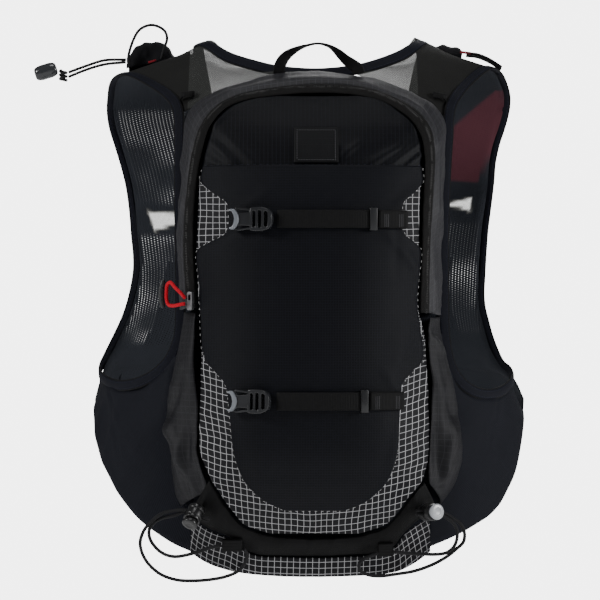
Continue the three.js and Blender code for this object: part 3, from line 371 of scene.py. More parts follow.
def cubic_across(grid, count, closed=False):
    """The same along the second axis."""
    return np.swapaxes(cubic(np.swapaxes(grid, 0, 1), count, closed), 0, 1)


def fine(grid, step, closed=False):
    """A sheet's points resampled to about one step apart both ways, columns first."""
    g = np.asarray(grid, float)
    long_way = np.linalg.norm(np.diff(g, axis=1), axis=-1).sum(1).mean()
    short_way = np.linalg.norm(np.diff(g, axis=0), axis=-1).sum(0).mean()
    many = max(4, int(round(long_way / step)))
    few = max(4, int(round(short_way / step)) + 1)
    return cubic(cubic_across(g, many, closed), few)


def normals_of(grid, closed=False):
    """The unit normals of a grid of points, facing away from the wearer."""
    if closed:
        wide = np.concatenate([grid[:, -1:], grid, grid[:, :1]], axis=1)
        du = np.gradient(wide, axis=1)[:, 1:-1]
    else:
        du = np.gradient(grid, axis=1)
    dv = np.gradient(grid, axis=0)
    n = unit(np.cross(du, dv))
    lean = np.sum(n * (grid - np.array(EYE)), axis=-1).mean()
    return n if lean > 0 else -n


def lengths(grid):
    """How far each point lies along its row and along its column, from the middle of the sheet."""
    u = np.zeros(grid.shape[:2])
    u[:, 1:] = np.cumsum(np.linalg.norm(np.diff(grid, axis=1), axis=-1), axis=1)
    u -= u[:, u.shape[1] // 2][:, None]
    v = np.zeros(grid.shape[:2])
    v[1:] = np.cumsum(np.linalg.norm(np.diff(grid, axis=0), axis=-1), axis=0)
    v -= v[v.shape[0] // 2][None]
    return u, v


# Noise and folds, as heights in metres over a sheet


def noise(u, v, seed):
    """Smooth noise from -1 to 1, one bump for each unit of u and v."""
    table = np.random.default_rng(seed).uniform(-1, 1, (64, 64))
    iu, iv = np.floor(u).astype(int), np.floor(v).astype(int)
    fu, fv = u - iu, v - iv
    fu, fv = fu * fu * (3 - 2 * fu), fv * fv * (3 - 2 * fv)

    def at(a, b):
        return table[(iu + a) % 64, (iv + b) % 64]

    low = at(0, 0) * (1 - fu) + at(1, 0) * fu
    high = at(0, 1) * (1 - fu) + at(1, 1) * fu
    return low * (1 - fv) + high * fv


def ridged(u, v, seed):
    """Noise with sharp crests, for creased cloth, from 0 to 1."""
    return 1 - np.abs(noise(u, v, seed))


def band(x, low, high, soft):
    """1 between low and high, falling to 0 over soft on each side."""
    rise = np.clip((x - low) / soft + 0.5, 0, 1)
    fall = np.clip((high - x) / soft + 0.5, 0, 1)
    return rise * rise * (3 - 2 * rise) * fall * fall * (3 - 2 * fall)


def crease(x, z, start, end, width):
    """A ridge from 0 to 1 along a line from start to end in the plane of x and z, in millimetres."""
    a, b = np.array(start, float) * MM, np.array(end, float) * MM
    d = b - a
    size = np.dot(d, d)
    t = np.clip(((x - a[0]) * d[0] + (z - a[1]) * d[1]) / size, 0, 1)
    away = np.hypot(x - a[0] - t * d[0], z - a[1] - t * d[1]) / (width * MM)
    taper = np.sin(math.pi * np.clip(t * 0.9 + 0.05, 0, 1)) ** 0.5
    return np.exp(-away ** 2) * taper


def cloth(name, grid, height, thick, material, replaces, closed=False, flat=False, marks=None):
    """A finished sheet: the grid's points raised by height along their normals, and given a thickness.

    flat gives the pattern the x and z of the sheet, and otherwise it follows the cloth's own lengths.
    """
    n = normals_of(grid, closed)
    top = grid + n * np.broadcast_to(height, grid.shape[:2])[..., None]
    low = top - normals_of(top, closed) * thick
    lines, cols = grid.shape[:2]
    u, v = (grid[..., 0], grid[..., 2]) if flat else lengths(grid)
    verts = np.concatenate([top.reshape(-1, 3), low.reshape(-1, 3)])
    uvs = np.stack([np.concatenate([u.ravel()] * 2), np.concatenate([v.ravel()] * 2)], 1)
    count = lines * cols
    faces = []
    for a, b, c, d in grid_faces(lines, cols, wrap_cols=closed):
        faces.append((a, b, c, d))
        faces.append((a + count, d + count, c + count, b + count))
    spans = range(cols if closed else cols - 1)
    for i in (0, lines - 1):
        for j in spans:
            a, b = i * cols + j, i * cols + (j + 1) % cols
            faces.append((a, a + count, b + count, b) if i == 0 else (a, b, b + count, a + count))
    if not closed:
        for j in (0, cols - 1):
            for i in range(lines - 1):
                a, b = i * cols + j, (i + 1) * cols + j
                faces.append((a, b, b + count, a + count) if j == 0 else (a, a + count, b + count, b))
    both = {}
    for key, share in (marks or {}).items():
        both[key] = np.concatenate([np.broadcast_to(share, grid.shape[:2]).ravel()] * 2)
    piece = outwards(mesh_object(name, verts, faces, uvs, marks=both))
    return settle(piece, material, replaces=replaces)


def ribbon(name, centre, across, normal, section, material, replaces, closed=False):
    """A flat band swept along a path. section gives, round the band, pairs of across and out in metres.

    The pattern's u runs round the section and its v along the band.
    """
    n, m = len(centre), len(section)
    centre, across, normal = rows(centre), unit(rows(across)), unit(rows(normal))
    along = arc(np.vstack([centre, centre[:1]]) if closed else centre)[:n]
    edge = np.concatenate([[0], np.cumsum([math.dist(a, b) for a, b in zip(section, section[1:])])])
    verts, uvs = [], []
    for k in range(n):
        for (s, h), e in zip(section, edge):
            verts.append(centre[k] + across[k] * s + normal[k] * h)
            uvs.append((e, along[k]))
    faces = grid_faces(n, m, wrap_rows=closed, wrap_cols=True)
    if not closed:
        faces.append(tuple(range(m)))
        faces.append(tuple(reversed(range((n - 1) * m, n * m))))
    piece = outwards(mesh_object(name, verts, faces, uvs))
    return settle(piece, material, replaces=replaces)


def flat_section(width, thick, bulge=0.35, steps=5):
    """Round the section of a flat band: its edges are rounded and its faces slightly crowned."""
    half, high = width / 2, thick / 2
    points = []
    for sign in (1, -1):
        for k in range(-steps, steps + 1):
            f = k / steps
            s = sign * f * (half - high * 0.6)
            points.append((s, sign * high * (1 - bulge * f * f)))
        points.append((sign * half, 0))
    return points


def sweep_of(node, step):
    """Centre line, direction across and normal of a banded CAD node, resampled evenly."""
    outer, ring = sheet_grid(node)
    inner, _ = sheet_grid(node, False)
    count = int(round(np.linalg.norm(np.diff(outer[0], axis=0), axis=-1).sum() / step))
    a, b = cubic_across(outer, count, ring), cubic_across(inner, count, ring).reshape(-1, 3)
    mid_a = (a[0] + a[-1]) / 2
    width = np.linalg.norm(a[-1] - a[0], axis=-1)
    mate = np.array([b[np.linalg.norm(b - p, axis=-1).argmin()] for p in a[0]])
    across = unit(a[-1] - a[0])
    n = unit(a[0] - mate)
    n = unit(n - across * np.sum(n * across, -1, keepdims=True))
    thick = np.linalg.norm(a[0] - mate, axis=-1).mean()
    return mid_a - n * thick / 2, across, n, width, ring


# Materials


def colour(r, g, b):
    """A colour given as it shows on a screen, 0 to 255."""
    def linear(c):
        c /= 255
        return c / 12.92 if c <= 0.04045 else ((c + 0.055) / 1.055) ** 2.4
    return (linear(r), linear(g), linear(b), 1.0)


class Look:
    """A material built from nodes."""

    def __init__(self, name, rough, specular=0.3, sheen=0.0, metallic=0.0):
        self.material = bpy.data.materials.new(name)
        self.material.use_nodes = True
        self.tree = self.material.node_tree
        self.shader = self.tree.nodes["Principled BSDF"]
        for key, value in (("Roughness", rough), ("Specular IOR Level", specular), ("Sheen Weight", sheen),
                           ("Metallic", metallic)):
            self.shader.inputs[key].default_value = value

    def plug(self, socket, value):
        if isinstance(value, bpy.types.NodeSocket):
            self.tree.links.new(value, socket)
        else:
            socket.default_value = value

    def node(self, kind, inputs, **settings):
        node = self.tree.nodes.new(kind)
        for key, value in settings.items():
            setattr(node, key, value)
        for key, value in inputs.items():
            self.plug(node.inputs[key], value)
        return node

    def math(self, operation, a, b=0.0, c=0.0, clamp=False):
        node = self.tree.nodes.new("ShaderNodeMath")
        node.operation = operation
        node.use_clamp = clamp
        for socket, value in zip(node.inputs, (a, b, c)):
            self.plug(socket, value)
        return node.outputs[0]

    def pattern(self):
        """The cloth's own u and v, in metres."""
        uv = self.node("ShaderNodeUVMap", {}, uv_map="cloth")
        split = self.node("ShaderNodeSeparateXYZ", {0: uv.outputs[0]})
        return split.outputs[0], split.outputs[1]

    def place(self):
        return self.node("ShaderNodeTexCoord", {}).outputs["Object"]

    def mark(self, name):
        return self.node("ShaderNodeAttribute", {}, attribute_name=name).outputs["Fac"]

    def speckle(self, scale, detail=2.0):
        """Noise from 0 to 1 with so many bumps to a metre."""
        node = self.node("ShaderNodeTexNoise", {"Vector": self.place(), "Scale": scale, "Detail": detail})
        return node.outputs["Fac"]

    def wave(self, x, pitch):
        """A sine of x from -1 to 1, repeating every pitch metres."""
        return self.math("SINE", self.math("MULTIPLY", x, 2 * math.pi / pitch))

    def line(self, x, pitch, half):
        """1 on thin lines a pitch apart, and 0 elsewhere."""
        near = self.math("PINGPONG", x, pitch / 2)
        return self.math("MULTIPLY_ADD", near, -1 / (half * 0.5), 2.0, clamp=True)

    def blend(self, share, low, high):
        node = self.node("ShaderNodeMix", {}, data_type="RGBA")
        for index, value in ((0, share), (6, low), (7, high)):
            self.plug(node.inputs[index], value)
        return node.outputs[2]

    def holes(self, u, v, pitch_u, pitch_v, half_u, half_v):
        """1 in oval holes in staggered rows, and 0 between them."""
        soft = 0.35  # share of a hole's radius over which its edge fades
        row = self.math("FLOOR", self.math("DIVIDE", v, pitch_v))
        odd = self.math("PINGPONG", row, 1.0)
        across = self.math("MULTIPLY_ADD", odd, 0.5, self.math("DIVIDE", u, pitch_u))
        cu = self.math("MULTIPLY", self.math("SUBTRACT", self.math("FRACT", across), 0.5), pitch_u / half_u)
        cv = self.math("SUBTRACT", self.math("FRACT", self.math("DIVIDE", v, pitch_v)), 0.5)
        cv = self.math("MULTIPLY", cv, pitch_v / half_v)
        far = self.math("SQRT", self.math("ADD", self.math("POWER", cu, 2.0), self.math("POWER", cv, 2.0)))
        return self.math("MULTIPLY_ADD", far, -1 / soft, 1 / soft + 0.5, clamp=True)

    def finish(self, base, height=None, relief=0.0001, rough=None, alpha=None):
        """Joins colour, bump, roughness and holes to the shader."""
        self.plug(self.shader.inputs["Base Color"], base)
        if rough is not None:
            self.plug(self.shader.inputs["Roughness"], rough)
        if alpha is not None:
            self.plug(self.shader.inputs["Alpha"], alpha)
        if height is not None:
            bump = self.node("ShaderNodeBump", {"Height": height, "Distance": relief, "Strength": 1.0})
            self.plug(self.shader.inputs["Normal"], bump.outputs[0])
        return self.material


def weave(look, u, v, pitch, kind="plain"):
    """The height of threads, from 0 to 1."""
    if kind == "rib":
        return look.math("MULTIPLY_ADD", look.wave(u, pitch), 0.5, 0.5)
    if kind == "twill":
        slant = look.math("MULTIPLY_ADD", v, 0.8, u)
        return look.math("MULTIPLY_ADD", look.wave(slant, pitch), 0.5, 0.5)
    both = look.math("MULTIPLY", look.wave(u, pitch), look.wave(v, pitch))
    return look.math("MULTIPLY_ADD", both, 0.5, 0.5)


def mottled(look, dark, light):
    """Slight, broad variation of one colour, as dyed cloth shows."""
    patchy = look.math("MULTIPLY_ADD", look.speckle(14.0, 3.0), 0.8, 0.1, clamp=True)
    return look.blend(patchy, dark, light)


def elastic_look():
    """Navy binding with fine ribs both ways."""
    look = Look("navy_elastic", rough=0.62, specular=0.1, sheen=0.02)
    u, v = look.pattern()
    ribs = weave(look, u, v, 0.00085, "rib")
    cross = weave(look, v, u, 0.0006, "rib")
    height = look.math("MULTIPLY_ADD", cross, 0.35, ribs)
    base = mottled(look, colour(10, 11, 17), colour(17, 19, 30))
    return look.finish(base, height, 0.00012)


SINGLE = (-0.005, 0.0955)  # the middle and half the width, along x, of the yokes' single layer, which is painted lighter for the light shining through it from behind


def sheer_look():
    """Open warp knit that lets the background through, but is doubled and dark at the shoulders. Its single
    layer is painted lighter for the light shining through it from behind.
    """
    look = Look("sheer_mesh", rough=0.8, specular=0.08, sheen=0.02)
    u, v = look.pattern()
    hole = look.holes(u, v, 0.0013, 0.0011, 0.00052, 0.0004)
    height = look.math("SUBTRACT", 1.0, hole)
    base = mottled(look, colour(44, 45, 44), colour(66, 67, 65))
    x = look.node("ShaderNodeSeparateXYZ", {"Vector": look.place()}).outputs["X"]
    away = look.math("ABSOLUTE", look.math("SUBTRACT", x, SINGLE[0]))
    single = look.math("LESS_THAN", away, SINGLE[1])
    # painted light: the single layer takes the lighter colour, for the light that shines through it from
    # behind
    base = look.blend(single, mottled(look, colour(24, 24, 24), colour(38, 38, 37)), base)
    open_part = look.math("MULTIPLY", look.math("MULTIPLY", hole, single), 0.42)
    return look.finish(base, height, 0.0002, alpha=look.math("SUBTRACT", 1.0, open_part))


def dense_knit_look():
    """Dark mesh with rows of small oval hollows, which are painted near-black as shade."""
    look = Look("dense_knit", rough=0.78, specular=0.08, sheen=0.02)
    u, v = look.pattern()
    hollow = look.holes(u, v, 0.0019, 0.0029, 0.00042, 0.0006)
    threads = weave(look, u, v, 0.0006)
    height = look.math("MULTIPLY_ADD", hollow, -1.0, look.math("MULTIPLY_ADD", threads, 0.2, 1.0))
    # painted shade: the hollows take a near-black colour for the shade inside them
    base = look.blend(hollow, mottled(look, colour(24, 26, 31), colour(38, 41, 47)), colour(8, 8, 10))
    return look.finish(base, height, 0.00025)


def front_look():
    """Knit mesh whose holes open by area, with a single-layer part painted pale for the light shining
    through it, and a dark red lining.
    """
    look = Look("front_mesh", rough=0.8, specular=0.08, sheen=0.02)
    u, v = look.pattern()
    hole = look.holes(u, v, 0.0021, 0.0029, 0.00045, 0.0005)
    tiny = look.holes(u, v, 0.0013, 0.0011, 0.00056, 0.00045)
    threads = weave(look, u, v, 0.0006)
    height = look.math("MULTIPLY_ADD", hole, -1.0, look.math("MULTIPLY_ADD", threads, 0.2, 1.0))
    base = mottled(look, colour(30, 32, 37), colour(52, 55, 61))
    base = look.blend(look.mark("red"), base, colour(84, 48, 56))
    # painted light: the pale colour on the single-layer part stands for light shining through it from
    # behind
    base = look.blend(look.mark("pale"), base, colour(120, 118, 105))
    through_holes = look.math("MULTIPLY", hole, look.math("MULTIPLY", look.mark("open"), 0.66))
    through_pale = look.math("MULTIPLY", look.math("MULTIPLY_ADD", tiny, 0.25, 0.28), look.mark("pale"))
    alpha = look.math("SUBTRACT", 1.0, look.math("MAXIMUM", through_holes, through_pale))
    return look.finish(base, height, 0.00025, alpha=alpha)


def ripstop_look(name, dark, light, specular=0.16, grid=None, faint=None):
    """Crisp plain weave with a raised square net, in a pale or a faint colour where one is given."""
    look = Look(name, rough=0.5, specular=specular)
    u, v = look.pattern()
    threads = weave(look, u, v, 0.00055)
    net = look.math("MAXIMUM", look.line(u, 0.0052, 0.0003), look.line(v, 0.0052, 0.0003))
    height = look.math("MULTIPLY_ADD", net, 1.2, threads)
    base = mottled(look, colour(*dark), colour(*light))
    if faint:
        base = look.blend(look.math("MULTIPLY", net, 0.4), base, colour(*faint))
    if grid:
        broken = look.math("MULTIPLY_ADD", look.speckle(900.0, 1.0), 0.5, 0.62, clamp=True)
        base = look.blend(look.math("MULTIPLY", net, broken), base, colour(*grid))
    return look.finish(base, height, 0.00006)


def pinstripe_look():
    """Black ripstop with fine upright stripes, crossed by fainter ones."""
    look = Look("pinstripe_ripstop", rough=0.42, specular=0.11)
    u, v = look.pattern()
    threads = weave(look, u, v, 0.0005)
    stripe = look.line(u, 0.0033, 0.0003)
    cross = look.line(v, 0.0033, 0.0002)
    net = look.math("MAXIMUM", stripe, look.math("MULTIPLY", cross, 0.4))
    height = look.math("MULTIPLY_ADD", net, 1.0, threads)
    base = mottled(look, colour(4, 5, 8), colour(9, 10, 14))
    base = look.blend(look.math("MULTIPLY", net, 0.4), base, colour(30, 32, 42))
    return look.finish(base, height, 0.00005)


def stretch_look():
    """Near-black navy stretch weave with a fine raised grid."""
    look = Look("stretch_weave", rough=0.5, specular=0.12, sheen=0.01)
    u, v = look.pattern()
    threads = weave(look, u, v, 0.0005)
    net = look.math("MAXIMUM", look.line(u, 0.0021, 0.00028), look.line(v, 0.0021, 0.00028))
    height = look.math("MULTIPLY_ADD", net, 1.0, threads)
    base = mottled(look, colour(2, 3, 6), colour(6, 7, 13))
    base = look.blend(look.math("MULTIPLY", net, 0.5), base, colour(16, 19, 30))
    return look.finish(base, height, 0.00006)


def wing_look(name, low, high):
    """Dark stretch cloth with fine slanted ribs."""
    look = Look(name, rough=0.6, specular=0.1, sheen=0.02)
    u, v = look.pattern()
    ribs = weave(look, u, v, 0.0016, "twill")
    threads = weave(look, u, v, 0.0005)
    height = look.math("MULTIPLY_ADD", threads, 0.4, ribs)
    base = mottled(look, colour(*low), colour(*high))
    ribbed = colour(high[0] + 16, high[1] + 16, high[2] + 22)
    base = look.blend(look.math("MULTIPLY", ribs, 0.45), base, ribbed)
    return look.finish(base, height, 0.00012)


def webbing_look():
    """Flat black webbing with a woven rib."""
    look = Look("webbing", rough=0.6, specular=0.14, sheen=0.01)
    u, v = look.pattern()
    rib = weave(look, v, u, 0.0013, "rib")
    edge = weave(look, u, v, 0.0009, "rib")
    height = look.math("MULTIPLY_ADD", edge, 0.5, rib)
    base = look.blend(look.math("MULTIPLY", rib, 0.5), colour(7, 7, 8), colour(20, 20, 21))
    return look.finish(base, height, 0.00015)


def tape_look():
    """Dark zip tape in herringbone."""
    look = Look("zip_tape", rough=0.72, specular=0.1, sheen=0.02)
    u, v = look.pattern()
    slant = look.math("ADD", look.math("PINGPONG", v, 0.0012), u)
    height = weave(look, slant, v, 0.0011, "rib")
    base = look.blend(height, colour(9, 9, 9), colour(25, 24, 24))
    return look.finish(base, height, 0.00012)


def braid_look(name, dark, light):
    """The braided cover of a cord, or twisted thread."""
    look = Look(name, rough=0.62, specular=0.15, sheen=0.01)
    u, v = look.pattern()
    one = look.wave(look.math("ADD", v, u), 0.0017)
    two = look.wave(look.math("SUBTRACT", v, u), 0.0017)
    plait = look.math("MULTIPLY_ADD", look.math("MAXIMUM", one, two), 0.5, 0.5)
    base = look.blend(plait, colour(*dark), colour(*light))
    return look.finish(base, plait, 0.0002)


def moulded_look(name, dark, light, rough):
    """Moulded plastic with a slight grain."""
    look = Look(name, rough=rough, specular=0.5)
    fine_grain = look.speckle(1800.0, 3.0)
    broad = look.speckle(60.0, 2.0)
    base = look.blend(broad, colour(*dark), colour(*light))
    worn = look.math("MULTIPLY_ADD", broad, 0.18, rough - 0.09)
    return look.finish(base, fine_grain, 0.00003, rough=worn)


def metal_look():
    """Painted cast slider, rubbed in patches."""
    look = Look("slider_metal", rough=0.38, specular=0.5, metallic=0.85)
    rubbed = look.speckle(300.0, 4.0)
    base = look.blend(rubbed, colour(92, 92, 95), colour(150, 150, 152))
    return look.finish(base, rubbed, 0.00004, rough=look.math("MULTIPLY_ADD", rubbed, 0.3, 0.25))


# Small parts repeated along lines or over points


def scatter_tree():
    """Geometry nodes: a copy of an item on each point, turned as the point's own attribute says."""
    tree = bpy.data.node_groups.new("repeat_on_points", "GeometryNodeTree")
    face = tree.interface
    face.new_socket(name="Points", in_out="INPUT", socket_type="NodeSocketGeometry")
    face.new_socket(name="Item", in_out="INPUT", socket_type="NodeSocketObject")
    face.new_socket(name="Size", in_out="INPUT", socket_type="NodeSocketVector")
    face.new_socket(name="Finish", in_out="INPUT", socket_type="NodeSocketMaterial")
    face.new_socket(name="Result", in_out="OUTPUT", socket_type="NodeSocketGeometry")
    add, link = tree.nodes.new, tree.links.new
    source, result = add("NodeGroupInput"), add("NodeGroupOutput")
    points = add("GeometryNodeMeshToPoints")
    item = add("GeometryNodeObjectInfo")
    turn = add("GeometryNodeInputNamedAttribute")
    turn.data_type = "FLOAT_VECTOR"
    turn.inputs["Name"].default_value = "turn"
    copies = add("GeometryNodeInstanceOnPoints")
    real = add("GeometryNodeRealizeInstances")
    finish = add("GeometryNodeSetMaterial")
    link(source.outputs["Points"], points.inputs["Mesh"])
    link(source.outputs["Item"], item.inputs["Object"])
    link(points.outputs["Points"], copies.inputs["Points"])
    link(item.outputs["Geometry"], copies.inputs["Instance"])
    link(turn.outputs["Attribute"], copies.inputs["Rotation"])
    link(source.outputs["Size"], copies.inputs["Scale"])
    link(copies.outputs["Instances"], real.inputs["Geometry"])
    link(real.outputs["Geometry"], finish.inputs["Geometry"])
    link(source.outputs["Finish"], finish.inputs["Material"])
    link(finish.outputs["Geometry"], result.inputs["Result"])
    return tree


TREE = scatter_tree()


def scattered(name, places, forward, up, item, size, material):
    """Copies of an item at places, its x along forward and its z along up, joined in one mesh."""
    mesh = bpy.data.meshes.new(name)
    mesh.from_pydata([tuple(p) for p in places], [], [])
    turns = []
    for f, n in zip(forward, up):
        x = Vector(f).normalized()
        z = (Vector(n) - x * Vector(n).dot(x)).normalized()
        y = z.cross(x)
        turns.append(Matrix((x, y, z)).transposed().to_euler())
    attribute = mesh.attributes.new("turn", "FLOAT_VECTOR", "POINT")
    attribute.data.foreach_set("vector", np.array(turns, np.float32).ravel())
    holder = show(bpy.data.objects.new(name + "_points", mesh))
    modifier = holder.modifiers.new("repeat", "NODES")
    modifier.node_group = TREE
    ids = {s.name: s.identifier for s in TREE.interface.items_tree if s.in_out == "INPUT"}
    modifier[ids["Item"]] = item
    modifier[ids["Size"]] = size
    modifier[ids["Finish"]] = material
    made = evaluated(holder)
    bpy.data.objects.remove(holder)
    soften(made)
    return settle(show(bpy.data.objects.new(name, made)), material)


def item_mesh(name, sections):
    """A small closed item along x: sections are (x, radius) and both ends are shut."""
    sides = 6
    verts, faces = [], []
    for x, r in sections:
        for k in range(sides):
            a = 2 * math.pi * k / sides
            verts.append((x, r * math.cos(a), r * math.sin(a)))
    for i in range(len(sections) - 1):
        for k in range(sides):
            a, b = i * sides + k, i * sides + (k + 1) % sides
            faces.append((a, b, b + sides, a + sides))
    faces.append(tuple(range(sides)))
    faces.append(tuple(reversed(range(len(verts) - sides, len(verts)))))
    piece = outwards(mesh_object(name, verts, faces))
    for collection in list(piece.users_collection):
        collection.objects.unlink(piece)
    return piece


STITCH = item_mesh("stitch", [(-0.5, 0.12), (-0.3, 0.2), (0.3, 0.2), (0.5, 0.12)])


def stitches(name, path, up, material, pitch=0.0028, length=0.0018, thick=0.0011):
    """A row of stitches along a path that lies on cloth whose normals are up."""
    path, up = rows(path), rows(up)
    along = arc(path)
    at = np.arange(pitch * 0.7, along[-1] - pitch * 0.4, pitch)
    tangent = unit(np.gradient(path, axis=0))
    forward, lean = unit(sample(tangent, along, at)), unit(sample(up, along, at))
    size = (length, thick, thick * 0.8)
    return scattered(name, sample(path, along, at), forward, lean, STITCH, size, material)


# Sewn cloth


def fold_grid(node, step):
    """A CAD sheet's outer points, resampled, with x and z in metres for placing its folds."""
    grid, closed = sheet_grid(node)
    g = fine(grid, step, closed)
    return g, g[..., 0], g[..., 2]


def creases(x, z, table):
    """The sum of ridges in the table: start, end, width and height, all in millimetres."""
    total = np.zeros_like(x)
    for start, end, width, high in table:
        total += high * MM * crease(x, z, start, end, width)
    return total


def make_backing(looks):
    """The mesh panel against the wearer's back."""
    g, x, z = fold_grid("back_panel", 0.004)
    height = 0.0006 * noise(x / 0.03, z / 0.05, 3) - 0.0006
    cloth("backing", g, height, CLOTH, looks["dense_knit"], ["back_panel"], flat=True)


BOUND = {}  # each binding's centre line, half its width and its whole sweep
NECK_CORNERS = (-0.090, 0.100)  # where the collar crosses the shoulders, along x
PEAK_HIGH, PEAK_WIDE = 0.0055, 0.016


def peaked(points):
    """Raises the neck's two corners."""
    points = np.array(points, float)
    x, z = points[..., 0], points[..., 2]
    for corner in NECK_CORNERS:
        rise = PEAK_HIGH * np.exp(-((x - corner) / PEAK_WIDE) ** 2)
        points[..., 2] = points[..., 2] + rise * np.clip(z / 0.02 + 1, 0, 1)
    return points


def reach(g, bindings, tuck=0.0032, most=0.024, spare=False):
    """Moves a sheet's edges under the bindings that they are sewn to.

    tuck is how far they go under, and most the widest gap to close. With spare, the edge at the
    back's middle stays where it is.
    """
    g = g.copy()
    edges = [np.s_[:, 0], np.s_[:, -1], np.s_[0, :], np.s_[-1, :]]
    if spare:
        edges.remove(min(edges, key=lambda at: np.abs(g[at][:, 0]).mean()))
    for at in edges:
        edge = g[at].copy()
        for name in bindings:
            centre = BOUND[name][0]
            away = np.linalg.norm(edge[:, None] - centre[None], axis=-1)
            near = centre[away.argmin(1)]
            far = away.min(1)
            if far.mean() > most:
                continue
            gap = far - BOUND[name][1] + tuck
            pull = np.clip((most - far) / 0.003, 0, 1) * np.clip(gap, 0, None) / np.maximum(far, 1e-6)
            edge += (near - edge) * pull[:, None]
        g[at] = edge
    return g


def run_on(g, far):
    """Lengthens a sheet at the end that lies nearest to the middle of the back."""
    ends = {0: g[0], 1: g[-1], 2: g[:, 0], 3: g[:, -1]}
    inner = min(ends, key=lambda k: np.abs(ends[k][:, 0]).mean())
    if inner > 1:
        return np.swapaxes(run_on(np.swapaxes(g, 0, 1), far), 0, 1)
    edge, before = (g[0], g[1]) if inner == 0 else (g[-1], g[-2])
    extra = (edge + unit(edge - before) * far)[None]
    return np.concatenate([extra, g] if inner == 0 else [g, extra])


def make_yokes(looks):
    """Sheer mesh from the shoulders down to the pack."""
    for side, seed in (("left", 11), ("right", 12)):
        g = peaked(fold_grid(f"yoke_{side}", 0.0025)[0])
        g = reach(g, [f"armhole_binding_{side}", "collar_binding"], 0.0015, 0.014, spare=True)
        g = run_on(g, 0.014)
        u, v = lengths(g)
        height = 0.0005 * noise(u / 0.02, v / 0.03, seed) - 0.0005
        cloth(f"yoke_mesh_{side}", g, height, MESH_CLOTH, looks["sheer"], [f"yoke_{side}"])


def region(x, z, outline):
    """1 inside a polygon in the plane of x and z, in millimetres, with a soft edge."""
    soft = 0.002
    points = np.array(outline, float) * MM
    inside = np.zeros(x.shape, bool)
    far = np.full(x.shape, 1.0)
    for a, b in zip(points, np.roll(points, -1, axis=0)):
        crosses = (a[1] > z) != (b[1] > z)
        with np.errstate(divide="ignore", invalid="ignore"):
            at = (b[0] - a[0]) * (z - a[1]) / (b[1] - a[1]) + a[0]
        inside ^= crosses & (x < at)
        d = b - a
        t = np.clip(((x - a[0]) * d[0] + (z - a[1]) * d[1]) / np.dot(d, d), 0, 1)
        far = np.minimum(far, np.hypot(x - a[0] - t * d[0], z - a[1] - t * d[1]))
    signed = np.where(inside, far, -far)
    return np.clip(signed / soft + 0.5, 0, 1)


# Areas of the fronts as seen from inside, in millimetres: one layer of sheer cloth, painted pale for the
# light shining through it, and a dark red lining
PALE = {
    "left": [(-143, -118), (-135, -119), (-109, -120), (-108, -128), (-122, -131), (-137, -136),
             (-140, -125)],
    "right": [(119, -112), (145, -106), (144, -119), (135, -115), (124, -114)],
}
LINING = {
    "left": [],
    "right": [(165, -12), (128, -43), (119, -90), (150, -93), (168, -30)],
}
OPEN_BANDS = {
    # from z, to z and how open the holes are, in millimetres
    "left": [(-112, -30, 0.55), (-235, -140, 0.9)],
    "right": [(-225, -128, 0.8)],
}


def make_fronts(looks):
    """The front panels, seen from inside through the armholes."""
    for side, seed in (("left", 21), ("right", 22)):
        g, x, z = fold_grid(f"front_panel_{side}", 0.003)
        g = reach(g, [f"armhole_binding_{side}", "collar_binding"])
        u, v = lengths(g)
        # where the single layer is painted pale for the light shining through it
        pale = region(x, z, PALE[side])
        red = region(x, z, LINING[side]) if LINING[side] else np.zeros_like(x)
        holes = np.zeros_like(x)
        for low, high, share in OPEN_BANDS[side]:
            holes += share * band(z, low * MM, high * MM, 0.006)
        uneven = np.clip(1.3 * noise(u / 0.022, v / 0.03, seed) + 0.7, 0, 1)
        holes *= (0.25 + 0.75 * uneven) * (1 - red)
        height = 0.0016 * noise(u / 0.03, v / 0.045, seed) + 0.0008 * ridged(u / 0.02, v / 0.035, seed + 5)
        cloth(f"front_mesh_{side}", g, height - 0.0018, MESH_CLOTH, looks["front"],
              [f"front_panel_{side}"], marks={"open": holes, "pale": pale, "red": red})


# The wings' sewn seams, in millimetres
SEAMS = {
    "left": [[(-171, -258), (-157, -331), (-129, -344)],
             [(-170, -272), (-153, -303), (-140, -322), (-121, -341)]],
    "right": [[(162, -260), (157, -293), (149, -322), (133, -345)],
              [(154, -324), (126, -357), (104, -392)]],
}


def make_wings(looks):
    """Stretch wings round the sides, with two sewn seams each."""
    for side, seed in (("left", 31), ("right", 32)):
        g = run_on(fold_grid(f"side_wing_{side}", 0.003)[0], 0.0045)
        g = reach(g, [f"armhole_binding_{side}"], 0.0015, 0.014)
        x, z = g[..., 0], g[..., 2]
        u, v = lengths(g)
        height = 0.0026 * noise(u / 0.05, v / 0.035, seed) + 0.0014 * ridged(u / 0.03, v / 0.05, seed + 3)
        for line in SEAMS[side]:
            for a, b in zip(line, line[1:]):
                height = height - 0.0009 * crease(x, z, a, b, 1.6) + 0.0008 * crease(x, z, a, b, 5)
        cloth(f"wing_{side}", g, height - 0.0012, STRETCH_CLOTH, looks["wing"], [f"side_wing_{side}"])


